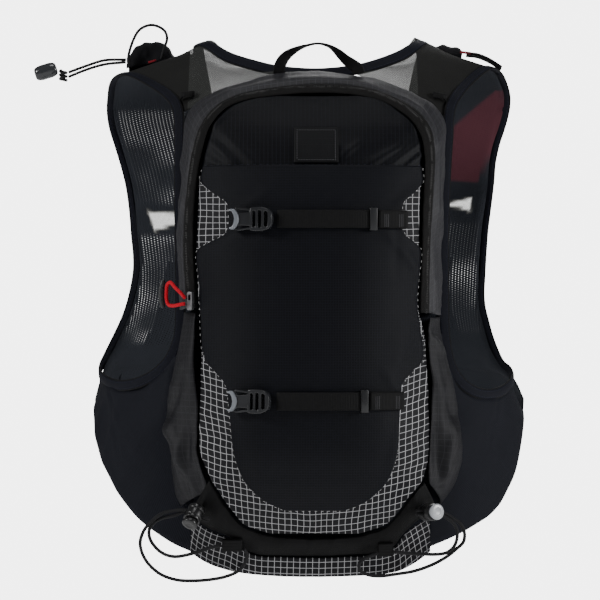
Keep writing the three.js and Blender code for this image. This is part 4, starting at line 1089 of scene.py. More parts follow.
# Folds seen in the cloth, in millimetres: start, end, width and height of each ridge
POCKET_FOLDS = {
    "left": [((-92, -214), (-98, -300), 5, 3.0), ((-104, -255), (-119, -300), 4, -3.0),
             ((-119, -292), (-103, -330), 3.5, 4.0), ((-96, -262), (-100, -350), 4, -2.5),
             ((-112, -320), (-90, -352), 4, 2.5), ((-88, -310), (-84, -350), 3, 2)],
    "right": [((100, -216), (107, -300), 5, 2.5), ((112, -260), (122, -300), 4, -2.5),
              ((120, -296), (108, -345), 4, 3.0), ((103, -270), (106, -350), 4, -2.5),
              ((99, -226), (108, -240), 3, 2.5), ((118, -330), (98, -352), 4, 2.0)],
}
TOP_FOLDS = [
    ((-79, -70), (-58, -90), 3.2, 1.5), ((-84, -82), (-66, -92), 2.6, 1.0),
    ((-70, -62), (-40, -91), 4, 0.8), ((25, -83), (40, -70), 2.6, 1.1),
    ((48, -88), (74, -73), 3.2, 1.3), ((62, -91), (90, -70), 3.0, 1.6),
    ((78, -90), (94, -77), 2.4, 1.2), ((8, -58), (30, -78), 3, 0.7),
    ((-18, -20), (-52, -34), 3, 0.8), ((30, -22), (66, -40), 3, 0.8),
    ((-60, -40), (-84, -60), 3, 0.7), ((76, -46), (92, -62), 3, 0.9),
]
STRETCH_FOLDS = [
    ((-62, -140), (-20, -122), 5, -0.6), ((-60, -128), (-30, -108), 4, 0.5),
    ((64, -128), (90, -104), 5, 1.2), ((60, -140), (84, -170), 4, 1.1),
    ((70, -138), (70, -180), 3, -0.8), ((76, -150), (92, -190), 4, 1.3),
    ((84, -195), (70, -240), 8, 1.3), ((64, -270), (84, -215), 6, 0.8),
    ((-64, -270), (-84, -228), 5, 0.8), ((-58, -286), (-80, -262), 4, 0.7),
    ((76, -276), (60, -252), 4, 0.9), ((-66, -300), (-58, -340), 4, 0.6),
    ((72, -300), (64, -336), 4, 0.8),
]


def make_side_pockets(looks):
    """Folded pockets of charcoal ripstop on the pack's lower sides."""
    for side, seed in (("left", 41), ("right", 42)):
        g, x, z = fold_grid(f"side_pocket_{side}", 0.0018)
        u, v = lengths(g)
        height = 1.3 * creases(x, z, POCKET_FOLDS[side]) + 0.0018 * ridged(u / 0.03, v / 0.014, seed)
        height = height + 0.0012 * noise(u / 0.02, v / 0.02, seed + 2) - 0.0015
        cloth(f"pocket_{side}", g, height, CLOTH, looks["pocket_ripstop"], [f"side_pocket_{side}"])


def make_pack(looks):
    """The pack's side wall, zip, face, top panel and stretch pocket."""
    g = fold_grid("pack_gusset", 0.002)[0]
    u, v = lengths(g)
    height = 0.0026 * ridged(u / 0.028, v / 0.03, 51) + 0.0016 * noise(u / 0.035, v / 0.012, 52)
    height = height + 0.0006 * ridged(u / 0.009, v / 0.02, 53)
    edge = np.minimum(np.arange(g.shape[0]), np.arange(g.shape[0])[::-1])[:, None] / 3
    height = height * np.clip(edge, 0, 1) - 0.0008
    cloth("gusset", g, height, CLOTH, looks["ripstop"], ["pack_gusset"])

    g = fold_grid("zip_track", 0.0014)[0]
    t = np.linspace(-1, 1, g.shape[0])[:, None]
    u, v = lengths(g)
    height = 0.0010 * (1 - t ** 2) - 0.0002 + 0.0007 * ridged(u / 0.0055, v / 0.004, 55)
    cloth("zip_tape", g, height, CLOTH, looks["tape"], ["zip_track"])
    teeth(g, normals_of(g), looks)

    g, x, z = fold_grid("pack_front", 0.0022)
    gathers = band(z, -0.39, -0.35, 0.03) * 0.0008 * ridged(x / 0.012, z / 0.05, 61)
    sides = 0.0012 * ridged(x / 0.03, z / 0.014, 62) * band(z, -0.36, -0.19, 0.04)
    height = gathers + sides - 0.0006
    piece = cloth("grid_front", g, height, CLOTH, looks["grid"], ["pack_front"], flat=True)
    bend_pattern(piece)

    g, x, z = fold_grid("top_panel", 0.0018)
    height = 1.5 * creases(x, z, TOP_FOLDS) + 0.0007 * noise(x / 0.03, z / 0.03, 71) - 0.0006
    cloth("top_cloth", g, height, CLOTH, looks["pinstripe"], ["top_panel"], flat=True)

    g, x, z = fold_grid("stretch_pocket", 0.0018)
    height = creases(x, z, STRETCH_FOLDS) + 0.0010 * noise(x / 0.05, z / 0.06, 81) - 0.0007
    cloth("pocket_front", g, height, STRETCH_CLOTH, looks["stretch"], ["stretch_pocket"], flat=True)
    edge_stitches(g, normals_of(g), looks)

    g, x, z = fold_grid("front_patch", 0.0012)
    height = 0.0002 * noise(x / 0.008, z / 0.008, 91)
    cloth("patch", g, height, CLOTH, looks["patch"], ["front_patch"], flat=True)
    rim = patch_rim(g)
    stitches("patch_stitches", rim, np.repeat([[0, -1, 0]], len(rim), axis=0), looks["grey_thread"],
             pitch=0.0021, length=0.0014, thick=0.0008)


def patch_rim(g):
    """A line just inside the edge of a square sheet."""
    inset = 0.08  # as a share of the sheet
    n, m = g.shape[:2]
    i, j = max(1, round(n * inset)), max(1, round(m * inset))
    line = [g[i, k] for k in range(j, m - j)] + [g[k, m - 1 - j] for k in range(i, n - i)]
    line += [g[n - 1 - i, k] for k in range(m - 1 - j, j - 1, -1)]
    line += [g[k, j] for k in range(n - 1 - i, i - 1, -1)]
    return np.array(line) + np.array([0, -0.0005, 0])


def bend_pattern(piece):
    """Curves the grid of the front's ripstop up towards its sides, as it is sewn."""
    layer = piece.data.uv_layers["cloth"]
    flat = np.zeros(len(piece.data.loops) * 2, np.float32)
    layer.data.foreach_get("uv", flat)
    uv = flat.reshape(-1, 2)
    low = np.clip((-0.19 - uv[:, 1]) / 0.06, 0, 1)
    x = uv[:, 0].copy()
    wander = noise(x / 0.018, uv[:, 1] / 0.018, 7), noise(x / 0.018, uv[:, 1] / 0.018, 8)
    uv[:, 1] += 0.0011 * wander[0] - 1.7 * low * x * x
    uv[:, 0] = x * (1 - 0.6 * low * (uv[:, 1] + 0.3)) + 0.0011 * wander[1]
    layer.data.foreach_set("uv", uv.ravel())


TOOTH = item_mesh("tooth", [(-0.5, 0.18), (-0.3, 0.3), (0.3, 0.3), (0.5, 0.18)])


def teeth(g, n, looks):
    """The zip's coil, along the middle of its tape."""
    row = g.shape[0] // 2
    line = g[row] + n[row] * 0.0009
    side = unit(g[row + 1] - g[row - 1])
    path = even(line, 0.0013)
    along, at = arc(line), arc(path)
    lean, up = sample(side, along, at), sample(n[row], along, at)
    scattered("zip_coil", path, lean, up, TOOTH, (0.0032, 0.0016, 0.0016), looks["coil"])


def edge_stitches(g, n, looks):
    """Pale thread along the pocket's edges, where it is sewn to the grid cloth."""
    for name, line, up in (("left", g[:, 0], n[:, 0]), ("right", g[:, -1], n[:, -1]), ("top", g[0], n[0]),
                           ("low", g[-1], n[-1])):
        if np.linalg.norm(np.diff(line, axis=0), axis=-1).sum() < 0.02:
            continue
        thread = looks["navy_thread"] if line[:, 2].min() > -0.12 else looks["pale_thread"]
        stitches(f"pocket_stitches_{name}", line + up * 0.0003, up, thread, pitch=0.0052, length=0.0019,
                 thick=0.0007)


def make_hem(looks):
    """The gathered casing and the grid cloth below it."""
    g = fold_grid("hem_casing", 0.0018)[0]
    u, v = lengths(g)
    t = np.linspace(0, 1, g.shape[0])[:, None]
    height = 0.0017 * ridged(u / 0.009, v / 0.05, 101) * np.sin(math.pi * t) ** 0.5
    height = height + 0.0006 * noise(u / 0.03, v / 0.02, 102) - 0.0008
    cloth("casing", g, height, CLOTH, looks["casing"], ["hem_casing"])
    g = fold_grid("hem_grid", 0.0022)[0]
    u, v = lengths(g)
    height = 0.0008 * ridged(u / 0.016, v / 0.05, 103) - 0.0008
    cloth("hem_cloth", g, height, CLOTH, looks["grid"], ["hem_grid"])


def make_front_pockets(looks):
    """Gathered pocket tops over the shoulders and the pouches low on the fronts."""
    for side, seed in (("left", 111), ("right", 112)):
        g, x, z = fold_grid(f"chest_pocket_{side}", 0.0016)
        if side == "left":  # its top slopes down towards the neck
            g[..., 2] -= 0.011 * np.clip((x + 0.142) / 0.03, 0, 1) * np.clip((z - 0.004) / 0.02, 0, 1)
        height = 0.0032 * ridged(x / 0.011, z / 0.02, seed) - 0.0034
        height = height + 0.0012 * noise(x / 0.005, z / 0.008, seed + 4)
        cloth(f"pocket_top_{side}", g, height, CLOTH, looks["black_cloth"], [f"chest_pocket_{side}"])
        g = fold_grid(f"front_pocket_{side}", 0.003)[0]
        u, v = lengths(g)
        height = 0.0015 * noise(u / 0.03, v / 0.03, seed + 8) - 0.0015
        cloth(f"pouch_{side}", g, height, CLOTH, looks["wing"], [f"front_pocket_{side}"])


# Bindings, webbing and tapes


BINDINGS = [
    # CAD node, thickness, seed of its wander
    ("armhole_binding_left", 0.0026, 121),
    ("armhole_binding_right", 0.0026, 122),
    ("collar_binding", 0.0028, 123),
]


def find_bindings():
    """Where the bindings run, for the sheets that are sewn to them."""
    for node, _, _ in BINDINGS:
        centre, *rest = sweep_of(node, 0.0025)
        if node == "collar_binding":
            centre = peaked(centre)
        BOUND[node] = (centre, float(np.median(rest[2])) / 2, [centre, *rest])


def make_bindings(looks):
    """Flat elastic round the armholes and the neck, with piping and stitches."""
    for node, thick, seed in BINDINGS:
        centre, across, normal, width, ring = BOUND[node][2]
        along = arc(centre)
        wander = noise(along / 0.035, along * 0, seed)
        if ring:
            wander = wander * np.sin(math.pi * np.arange(len(along)) / len(along)) ** 0.3
        centre = centre + normal * wander[:, None] * 0.0005
        broad = float(np.median(width))
        ribbon(node.replace("binding", "elastic"), centre, across, normal, flat_section(broad, thick),
               looks["elastic"], [node], closed=ring)
        for name, toward in (("inner", 1), ("outer", -1)):
            edge = centre + across * toward * (broad / 2 - 0.0002)
            if ring:
                edge = np.vstack([edge, edge[:1]])
            piping = tube(node.replace("binding", f"piping_{name}"), edge, 0.0006, 8)
            settle(piping, looks["piping"])
            for face, sign in (("back", 1), ("front", -1)):
                line = centre + across * toward * (broad / 2 - 0.0018) + normal * sign * thick * 0.43
                stitches(node.replace("binding", f"stitches_{name}_{face}"), line, normal * sign,
                         looks["navy_thread"], pitch=0.0034, length=0.0024, thick=0.0008)


def bar_tack(name, centre, across, normal, material):
    """Three dense rows of thread that hold a strap's end."""
    span, pitch = 0.011, 0.0011
    centre, across, normal = (Vector(v) for v in (centre, across, normal))
    along = normal.cross(across).normalized()
    places = []
    for line in (-0.0016, 0, 0.0016):
        for k in range(int(span / pitch)):
            places.append(centre + across * (k * pitch - span / 2) + along * line)
    count = len(places)
    scattered(name, places, [across] * count, [normal] * count, STITCH, (0.0016, 0.0009, 0.0009), material)


BANDS = {"strap_": 0.0015, "strap_end_": 0.0024, "strap_stub_": 0.0015, "sternum_strap_": 0.0015}


def make_webbing(looks):
    """Straps, their sewn ends, keepers, loops and tabs."""
    bands = [(start + end, thick) for start, thick in BANDS.items() for end in ("upper", "lower")]
    for node, thick in bands + [("shoulder_piece_right", 0.0022)]:
        centre, across, normal, width, _ = sweep_of(node, 0.002)
        if len(centre) < 4:
            centre, across, normal = (cubic(a, 4) for a in (centre, across, normal))
        along, normal = arc(centre), unit(normal)
        centre = centre + normal * (0.00025 * noise(along / 0.02, along * 0, len(node)))[:, None]
        section = flat_section(float(np.median(width)), thick, bulge=0.15)
        ribbon(node.replace("strap", "webbing") + "_band", centre, across, normal, section,
               looks["webbing"], [node])
        if "strap_end" in node:
            for k in (3, len(centre) - 4):
                bar_tack(f"{node}_tack_{k}", centre[k] + normal[k] * 0.0012, across[k], normal[k],
                         looks["grey_thread"])
    path = through([(x, y, z) for x, y, z, _, _ in HAUL], 6) * MM
    turns = through([(turn, wide, 0) for _, _, _, turn, wide in HAUL], 6)
    tangent = unit(np.gradient(path, axis=0))
    across, normal = [], []
    for t, (turn, _, _) in zip(tangent, turns):
        flat = Vector((0, 1, 0)).cross(Vector(t)).normalized()
        flat = Matrix.Rotation(math.radians(turn), 3, Vector(t)) @ flat
        across.append(flat)
        normal.append(Vector(t).cross(flat))
    section = flat_section(0.0098, 0.0015, bulge=0.15)
    ribbon("haul_webbing", path, across, normal, section, looks["webbing"], ["haul_loop"])
    for side in ("left", "right"):
        solid_copy(f"gear_tape_{side}", f"gear_loop_{side}", 0.0004, looks["webbing"])
        solid_copy(f"tab_{side}", f"cord_tab_{side}", 0.0006, looks["webbing"])
    for name in ("upper", "lower"):
        solid_copy(f"keeper_ring_{name}", f"keeper_{name}", 0.0004, looks["keeper"])


HAUL = [
    # x, y, z, turn of the strap in degrees, width
    (-24.5, -88, -10.8, 0, 9), (-24, -89, -4, 8, 9), (-19.5, -90, 3.5, 35, 9.5), (-10.5, -90, 9.5, 70, 10),
    (-1, -90, 13, 88, 10), (8, -90, 14.4, 90, 10), (17, -90, 12, 82, 10), (24.5, -90, 6.5, 55, 10),
    (30.5, -89, 1, 34, 11), (36, -88, -3, 14, 12), (40, -88, -6.2, 3, 13), (41, -88, -10.2, 0, 13),
]


# Hard parts


def solid_copy(name, node, bevel, material):
    """A CAD node's own shape with its flat faces joined and its edges rounded."""
    bm = merged(node)
    bmesh.ops.dissolve_limit(bm, angle_limit=math.radians(0.8), verts=bm.verts, edges=bm.edges)
    edges = [e for e in bm.edges if len(e.link_faces) == 2 and e.calc_face_angle(0) > math.radians(28)]
    bmesh.ops.bevel(bm, geom=edges, offset=bevel, segments=3, profile=0.5, affect="EDGES",
                    clamp_overlap=True)
    mesh = bpy.data.meshes.new(name)
    bmesh.ops.triangulate(bm, faces=[f for f in bm.faces if len(f.verts) > 4])
    bm.to_mesh(mesh)
    bm.free()
    layer = mesh.uv_layers.new(name="cloth")
    for loop in mesh.loops:
        co = mesh.vertices[loop.vertex_index].co
        layer.data[loop.index].uv = (co.x, co.z)
    mesh.set_sharp_from_angle(angle=math.radians(38))
    soften(mesh)
    return settle(show(bpy.data.objects.new(name, mesh)), material, replaces=[node])


def lathe_rings(profile, seat, steps):
    """Rings of points, from (radius, height) in millimetres. A seat is an origin and three directions."""
    origin, side, axis, back = (np.array(v, float) for v in seat)
    points = []
    for r, y in profile:
        for k in range(steps):
            a = 2 * math.pi * k / steps
            points.append((origin + (side * math.cos(a) + back * math.sin(a)) * r + axis * y) * MM)
    return points


def turned(name, profile, seat):
    """A lathe solid whose profile starts and ends on the axis."""
    steps = 40
    origin, axis = np.array(seat[0], float), np.array(seat[2], float)
    inner = [p for p in profile if p[0] > 0]
    verts, faces = lathe_rings(inner, seat, steps), grid_faces(len(inner), steps, wrap_cols=True)
    for ring, y in ((0, profile[0][1]), (len(inner) - 1, profile[-1][1])):
        verts.append((origin + axis * y) * MM)
        for k in range(steps):
            a, b = ring * steps + k, ring * steps + (k + 1) % steps
            faces.append((a, b, len(verts) - 1))
    piece = outwards(mesh_object(name, verts, faces))
    piece.data.set_sharp_from_angle(angle=math.radians(40))
    return piece


def rounded(profile, radius=0.5, steps=3):
    """The profile with its corners rounded, in millimetres."""
    out = [profile[0]]
    for a, b, c in zip(profile, profile[1:], profile[2:]):
        a, b, c = (np.array(p, float) for p in (a, b, c))
        r = min(radius, np.linalg.norm(b - a) * 0.45, np.linalg.norm(c - b) * 0.45)
        start, end = b + (a - b) / np.linalg.norm(a - b) * r, b + (c - b) / np.linalg.norm(c - b) * r
        for t in np.linspace(0, 1, steps + 1):
            out.append(tuple((1 - t) ** 2 * start + 2 * t * (1 - t) * b + t * t * end))
    out.append(profile[-1])
    return out


# The cord locks, in millimetres: middle of the barrel, direction of the button, direction of the cords
LOCKS = {
    "left": ((-92.5, -134, -369.5), (-0.35, -0.6, -0.72), (1, 0, -0.15)),
    "right": ((97, -132.5, -368.5), (0.55, -0.83, 0.1), (0.83, 0.55, 0)),
}
LOCK_LONG, CORD_LEVEL, CORD_SPREAD, CORD_END = 14, -6.25, 1.45, 13
BORE_HALF_TALL, BORE_HALF_WIDE, TRAVEL = 1.55, 3.15, 2.5
# Profiles of (radius, height over the barrel's mouth): the barrel with two grooves, and the button
BARREL = [(0, -14), (5.6, -14), (7, -12.4), (7, -9.6), (6.6, -9.2), (6.6, -8.6), (7, -8.2), (7, -3.4),
          (6.6, -3), (6.6, -2.4), (7, -2), (7, 0), (5.3, 0), (5.3, -12), (0, -12)]
BUTTON = [(0, -9.2), (4.95, -9.2), (4.95, 2.8), (6.5, 2.8), (6.5, 4.5), (5.6, 5.3), (3.4, 5.5), (2.6, 5.1),
          (0, 4.9)]


def lock_seat(side):
    """Mouth of the barrel, direction of the cords, of the button, and the third direction."""
    at, button, cords = (Vector(v) for v in LOCKS[side])
    button.normalize()
    cords = (cords - button * cords.dot(button)).normalized()
    return at + button * LOCK_LONG / 2, cords, button, cords.cross(button)


def cut_bore(piece, seat, low, high):
    """Cuts the cross bore that the cords pass through."""
    origin, side, axis, back = seat
    verts = []
    for a in (-20, 20):
        for b in (low, high):
            for c in (-BORE_HALF_WIDE, BORE_HALF_WIDE):
                verts.append((origin + side * a + axis * b + back * c) * MM)
    faces = [(0, 1, 3, 2), (4, 6, 7, 5), (0, 4, 5, 1), (2, 3, 7, 6), (0, 2, 6, 4), (1, 5, 7, 3)]
    cutter = outwards(mesh_object("bore_cutter", verts, faces, smooth=False))
    modifier = piece.modifiers.new("bore", "BOOLEAN")
    modifier.operation, modifier.solver, modifier.object = "DIFFERENCE", "EXACT", cutter
    made = evaluated(piece)
    piece.modifiers.clear()
    piece.data = made
    bpy.data.objects.remove(cutter)
    piece.data.set_sharp_from_angle(angle=math.radians(40))


def make_locks(looks):
    """Cord locks: a grooved barrel and a sprung button, crossed by both cords."""
    low, high = CORD_LEVEL - BORE_HALF_TALL, CORD_LEVEL + BORE_HALF_TALL
    for side in LOCKS:
        seat = lock_seat(side)
        piece = turned(f"lock_barrel_{side}", rounded(BARREL, 0.4), seat)
        cut_bore(piece, seat, low, high)
        settle(piece, looks["lock"], replaces=[f"cord_lock_barrel_{side}"])
        piece = turned(f"lock_button_{side}", rounded(BUTTON), seat)
        cut_bore(piece, seat, low, high + TRAVEL)
        finish = looks["button" if side == "right" else "lock"]
        settle(piece, finish, f"plunger_{side}", [f"cord_lock_plunger_{side}"])


def plate(outline, holes, low, high, edge):
    """A flat moulding in millimetres, x along the strap, y up and z away from the cloth, as a mesh."""
    curve = bpy.data.curves.new("plate", "CURVE")
    curve.dimensions, curve.fill_mode = "2D", "BOTH"
    curve.extrude = (high - low) / 2 - edge
    curve.bevel_depth, curve.bevel_resolution, curve.offset = edge, 3, -edge
    for ring in [outline] + list(holes):
        spline = curve.splines.new("POLY")
        spline.points.add(len(ring) - 1)
        for point, (x, y) in zip(spline.points, ring):
            point.co = (x, y, 0, 1)
        spline.use_cyclic_u = True
    thing = show(bpy.data.objects.new("plate", curve))
    mesh = evaluated(thing)
    mesh.transform(Matrix.Translation((0, 0, (low + high) / 2)))
    bpy.data.objects.remove(thing)
    bpy.data.curves.remove(curve)
    return mesh


def mirrored(points):
    """An outline given by its upper half, from left to right."""
    return points + [(x, -y) for x, y in reversed(points)]


def slot_hole(x, half_wide, half_high, bow):
    """A rounded slot across the strap, bowed along it."""
    steps, corner = 8, half_wide * 0.9
    points = []
    for side in (1, -1):
        for k in range(steps + 1):
            a = math.pi / 2 * (1 - 2 * k / steps)
            px = side * (half_wide - corner + corner * abs(math.cos(a)))
            high = half_high - corner + corner * abs(math.sin(a))
            y = side * math.copysign(high, a if k != steps / 2 else 1)
            points.append((x + px + bow * (1 - (y / half_high) ** 2), y))
    return points


def arch(x, long, half):
    """The rounded end of an outline, from its top to its right-hand tip, as its upper half."""
    turns = [math.pi / 2 * k / 14 for k in range(14)]
    return [(x + long * math.sin(a), half * math.cos(a) ** 0.62) for a in turns]


# The buckle in millimetres, x along the strap from its left end and y up
CRESCENT = [(0.2, 7.6), (2.2, 8.3), (4.6, 7.9), (6.6, 5.6), (8.1, 2.9), (8.6, 0), (8.1, -2.9),
            (6.6, -5.6), (4.6, -7.9), (2.2, -8.3), (0.2, -7.6), (0.6, -6.5), (2.6, -6.0), (4.0, -3.6),
            (4.6, 0), (4.0, 3.6), (2.6, 6.0), (0.6, 6.5)]
TONGUE = mirrored([(6.2, 5.2), (10, 5.0), (15, 5.3), (19.4, 6.2)])
PRONG = [(4.6, 8.1), (7.5, 9.2), (12.5, 8.7), (16.5, 8.0), (20, 8.6), (20, 7.2), (16, 6.5), (12, 7.3),
         (7.6, 7.8), (5.4, 6.9)]
LOWER_PRONG = [(x, -y) for x, y in reversed(PRONG)]
SOCKET = mirrored([(17.4, 8.6), (19.4, 9.5)] + arch(24.5, 11.2, 9.6))
SLOTS = [slot_hole(20.6, 1.25, 6.6, 0.5), slot_hole(25.2, 1.35, 7.0, 0.9), slot_hole(30.2, 1.5, 6.2, 1.3)]
MOULDINGS = {
    # each piece's mouldings: outline, holes, height of the foot, top's depth below the buckle's, round edge
    "plug": [(TONGUE, [], 1.2, 1.8, 0.45), (PRONG, [], 1.4, 2.4, 0.35), (LOWER_PRONG, [], 1.4, 2.4, 0.35)],
    # the bar is a piece of its own only to carry the painted highlight's lighter grey
    "bar": [(CRESCENT, [], 0.6, 0.3, 0.9)],
    "socket": [(SOCKET, SLOTS, 0.4, 1.4, 0.55)],
}


def buckle_place(name):
    """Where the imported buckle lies: the matrix from its own millimetres, and its height."""
    points = []
    for half in ("plug", "socket"):
        points += [v.co.copy() for v in NODES[f"buckle_{half}_{name}"].data.vertices]
    cloud = np.array(points)
    slope, at = np.polyfit(cloud[:, 0], cloud[:, 1], 1)
    left, level = cloud[:, 0].min(), (cloud[:, 2].min() + cloud[:, 2].max()) / 2
    along = Vector((1, slope, 0)).normalized()
    out = Vector((along.y, -along.x, 0))
    heights = [p.dot(out) for p in points]
    start = Vector((left, slope * left + at, level))
    start += out * (min(heights) - start.dot(out))
    turn = Matrix((along, (0, 0, 1), out)).transposed().to_4x4()
    place = Matrix.Translation(start) @ turn @ Matrix.Diagonal((MM, MM, MM, 1))
    return place, (max(heights) - min(heights)) / MM


def make_buckles(looks):
    """Side-release buckles: a plug with a crescent bar, a tongue and two prongs, in a slotted socket. The
    crescent bar is given a lighter grey as a painted highlight.
    """
    for name in ("upper", "lower"):
        place, tall = buckle_place(name)
        for half, mouldings in MOULDINGS.items():
            bm = bmesh.new()
            for outline, holes, foot, below, edge in mouldings:
                bm.from_mesh(plate(outline, holes, foot, tall - below, edge))
            bm.transform(place)
            bmesh.ops.recalc_face_normals(bm, faces=bm.faces)
            made = bpy.data.meshes.new(f"{half}_{name}")
            bm.to_mesh(made)
            bm.free()
            soften(made)
            made.set_sharp_from_angle(angle=math.radians(50))
            piece = show(bpy.data.objects.new(f"{half}_{name}", made))
            # the bar stands for no CAD node: it is part of the plug, coloured lighter as a painted
            # highlight
            stands_for = [] if half == "bar" else [f"buckle_{half}_{name}"]
            settle(piece, looks["bar" if half == "bar" else "buckle"], replaces=stands_for)


# Trims, in millimetres
GRIP = [(-117.8, -133.6, -180.6), (-119.4, -133.2, -187), (-119.6, -133.2, -195), (-118.2, -133.6, -203)]
BEAD = [(1.9, -9.6), (4.2, -9.6), (5.6, -8), (6.5, -4.6), (6.5, 4.6), (5.6, 8), (4.2, 9.6), (1.9, 9.6)]
BEAD_AT, BEAD_TILT = (-224.4, 0, -1.6), 0.3  # its middle, and how its axis leans in radians
KNOT_AT, KNOT_TALL, KNOT_TURNS = (-209.7, -5), 8.8, 2.6  # its x and z, its height, turns of the cord


def make_trims(looks):
    """The zip's slider and grip, the bead, the knot and two red tapes."""
    solid_copy("slider", "zip_slider", 0.0005, looks["metal"])
    grip = through(GRIP, 12) * MM
    t = np.linspace(0, 1, len(grip))
    grooves = 0.05 * np.sign(np.sin(t * 60)) * (np.abs(t - 0.5) < 0.3)
    piece = tube("grip", grip, 0.0023, 16, 0.62 + 0.4 * np.sin(math.pi * t) ** 0.5 + grooves)
    settle(piece, looks["grip"], replaces=["pull_grip"])
    settle(ring_bead("bead"), looks["bead"], replaces=["toggle_bead"])
    knot = []
    for t in np.linspace(0, 1, 90):
        turn = 2 * math.pi * KNOT_TURNS * t
        r = 2.5 + 0.5 * math.sin(3 * turn)
        knot.append((KNOT_AT[0] + r * math.cos(turn) * 0.95, r * math.sin(turn),
                     KNOT_AT[1] + KNOT_TALL * 0.95 * (t - 0.5)))
    settle(tube("knot", rows(knot) * MM, 0.0013, 10), looks["black_braid"], replaces=["toggle_knot"])
    for name, at, along, up, long, wide in RED_TAPES:
        tape(name, at, along, up, long, wide, looks["red_tape"])
    for side in ("left", "right"):
        low = np.array([v.co for v in NODES[f"gear_loop_{side}"].data.vertices])
        middle = low.mean(0) / MM
        middle[1] = low[:, 1].min() / MM - 0.6
        lean = 0.12 if side == "left" else -0.12
        tape(f"gear_patch_{side}", middle, (1, 0, lean), (0, -1, 0.3), 11.5, 4.6, looks["webbing"])


RED_TAPES = [
    # name, middle in millimetres, direction along it, direction it faces, length and width
    ("red_tape_right", (134, 1.2, 14.6), (1, 0, -0.12), (0, -1, 0.25), 9, 2.4),
    ("red_tape_left", (-133.5, -1.4, 7.0), (1, 0, 0.3), (0, -1, 0.4), 7, 1.9),
]


def tape(name, at, along, up, long, wide, material):
    """A short flat tape."""
    along, up = Vector(along).normalized(), Vector(up).normalized()
    across = up.cross(along).normalized()
    centre = [(Vector(at) + along * long * f) * MM for f in (-0.5, -0.17, 0.17, 0.5)]
    ribbon(name, centre, [across] * 4, [up] * 4, flat_section(wide * MM, 0.0008), material, [])


def ring_bead(name):
    """A bead with a hole along its axis."""
    steps, profile = 36, rounded(BEAD, 1.2, 4)
    axis, side = Vector((math.cos(BEAD_TILT), 0, math.sin(BEAD_TILT))), Vector((0, 1, 0))
    verts = lathe_rings(profile, (BEAD_AT, side, axis, axis.cross(side)), steps)
    faces = grid_faces(len(profile), steps, wrap_rows=True, wrap_cols=True)
    return outwards(mesh_object(name, verts, faces))


# Cords, in millimetres: the points of their routes

CORD_ROUTES = {
    # lock's side, strand's place in the lock, side that it leaves on, points from the lock to the tab
    "left_outer": ("left", -1, -1, [
        (-109.8, -131, -367.4), (-119.5, -129, -369.9), (-127.7, -126, -376.4), (-134.2, -123, -384.1),
        (-137.4, -120, -395.1), (-133.3, -118, -408), (-122, -117, -419.4), (-108.2, -116, -424.7),
        (-94.3, -115, -425.6), (-80.5, -114, -424.7), (-68.3, -113.5, -422.4), (-57.8, -114, -417.8),
        (-52.1, -116.5, -410.5), (-50.4, -120, -403.4), (-53.1, -122, -399)]),
    "left_inner": ("left", 1, -1, [
        (-109.8, -129.5, -371.5), (-119.5, -126.5, -373.9), (-126.4, -123, -378), (-130.1, -120, -384.1),
        (-129.3, -117, -391.8), (-124.4, -115, -399.1), (-117.9, -114, -404), (-109.8, -114, -406),
        (-100.8, -115, -404.8), (-89.5, -116.5, -401.6), (-80.5, -119, -398.3), (-71.6, -122.1, -396.2)]),
    "right_outer": ("right", -1, 1, [
        (117.7, -121, -374.6), (124.2, -117, -380.4), (126.7, -114, -386.9), (125.9, -112, -394.2),
        (120.2, -112, -399.9), (112, -112.5, -406.4), (99.9, -113, -412.9), (86, -113, -417.8),
        (72.2, -113, -420.2), (57.6, -113.5, -421.9), (48.7, -114, -421), (42.2, -115, -417.8),
        (40.5, -117.5, -412.1), (44.6, -120, -407.4), (55.6, -122.3, -402.5)]),
    "right_inner": ("right", 1, 1, [
        (116.5, -124, -377.5), (120.2, -121, -384.1), (120.2, -118, -391.8), (117.5, -116, -398.3),
        (112.2, -115, -402.6), (104.7, -115, -404), (90.9, -116, -403.7), (79.5, -118.5, -402.8),
        (69.3, -121.7, -401.6)]),
}
TOGGLES = {
    "upper": [(-156.6, 9, 9.3), (-175, 5, 8.3), (-190, 2, 3.4), (-204.9, 0, -2.3)],
    "lower": [(-156.6, 5.6, 6.8), (-175, 5, 4.8), (-190, 2, 0.1), (-205.1, 0, -6.2)],
}
PULL = [
    (-99.9, -142.6, -195.4), (-103, -143, -191.6), (-108, -141, -186.8), (-112, -137.6, -182.6),
    (-114.6, -135, -184.6), (-115.4, -134, -190), (-115.3, -134, -196), (-113.6, -135.2, -200.6),
    (-109, -139, -201.4), (-104, -142.4, -200.4), (-99.9, -143, -199.8),
]
SHOULDER_LOOP = [
    (-153.5, 1.5, 1.8), (-154.3, 1, 9), (-150, 1, 25), (-144, 2, 34.7), (-134, 3, 38.4), (-123.6, 2, 33.8),
    (-121, 1, 27), (-123.8, 0, 17), (-126, 0, 9),
]


def add_cord(name, route, diameter, look, node):
    """A round cord along its route."""
    path = even(through(route, 10) * MM, diameter * 0.45)
    piece = tube(name, path, diameter * 0.57, 12)  # the braid stands a little proud of the cord's size
    settle(piece, look, replaces=[node])


def make_cords(looks):
    """Shock cord through the locks, the shoulder's elastic and the zip's pull."""
    black, red = looks["black_braid"], looks["red_braid"]
    for name, (side, spread, out, points) in CORD_ROUTES.items():
        mouth, cords, button, third = lock_seat(side)
        inside = [mouth + button * CORD_LEVEL + third * spread * CORD_SPREAD + cords * c
                  for c in (-out * CORD_END, 0, out * 8)]
        add_cord(f"cord_{name}", [tuple(p) for p in inside] + points, 0.0025, black,
                 f"shock_cord_{name}")
    for name, route in TOGGLES.items():
        add_cord(f"toggle_strand_{name}", route, 0.0022, black, f"toggle_cord_{name}")
    add_cord("zip_pull", PULL, 0.0026, red, "pull_cord")
    add_cord("standing_loop", SHOULDER_LOOP, 0.0022, black, "shoulder_loop")


# Light and floor


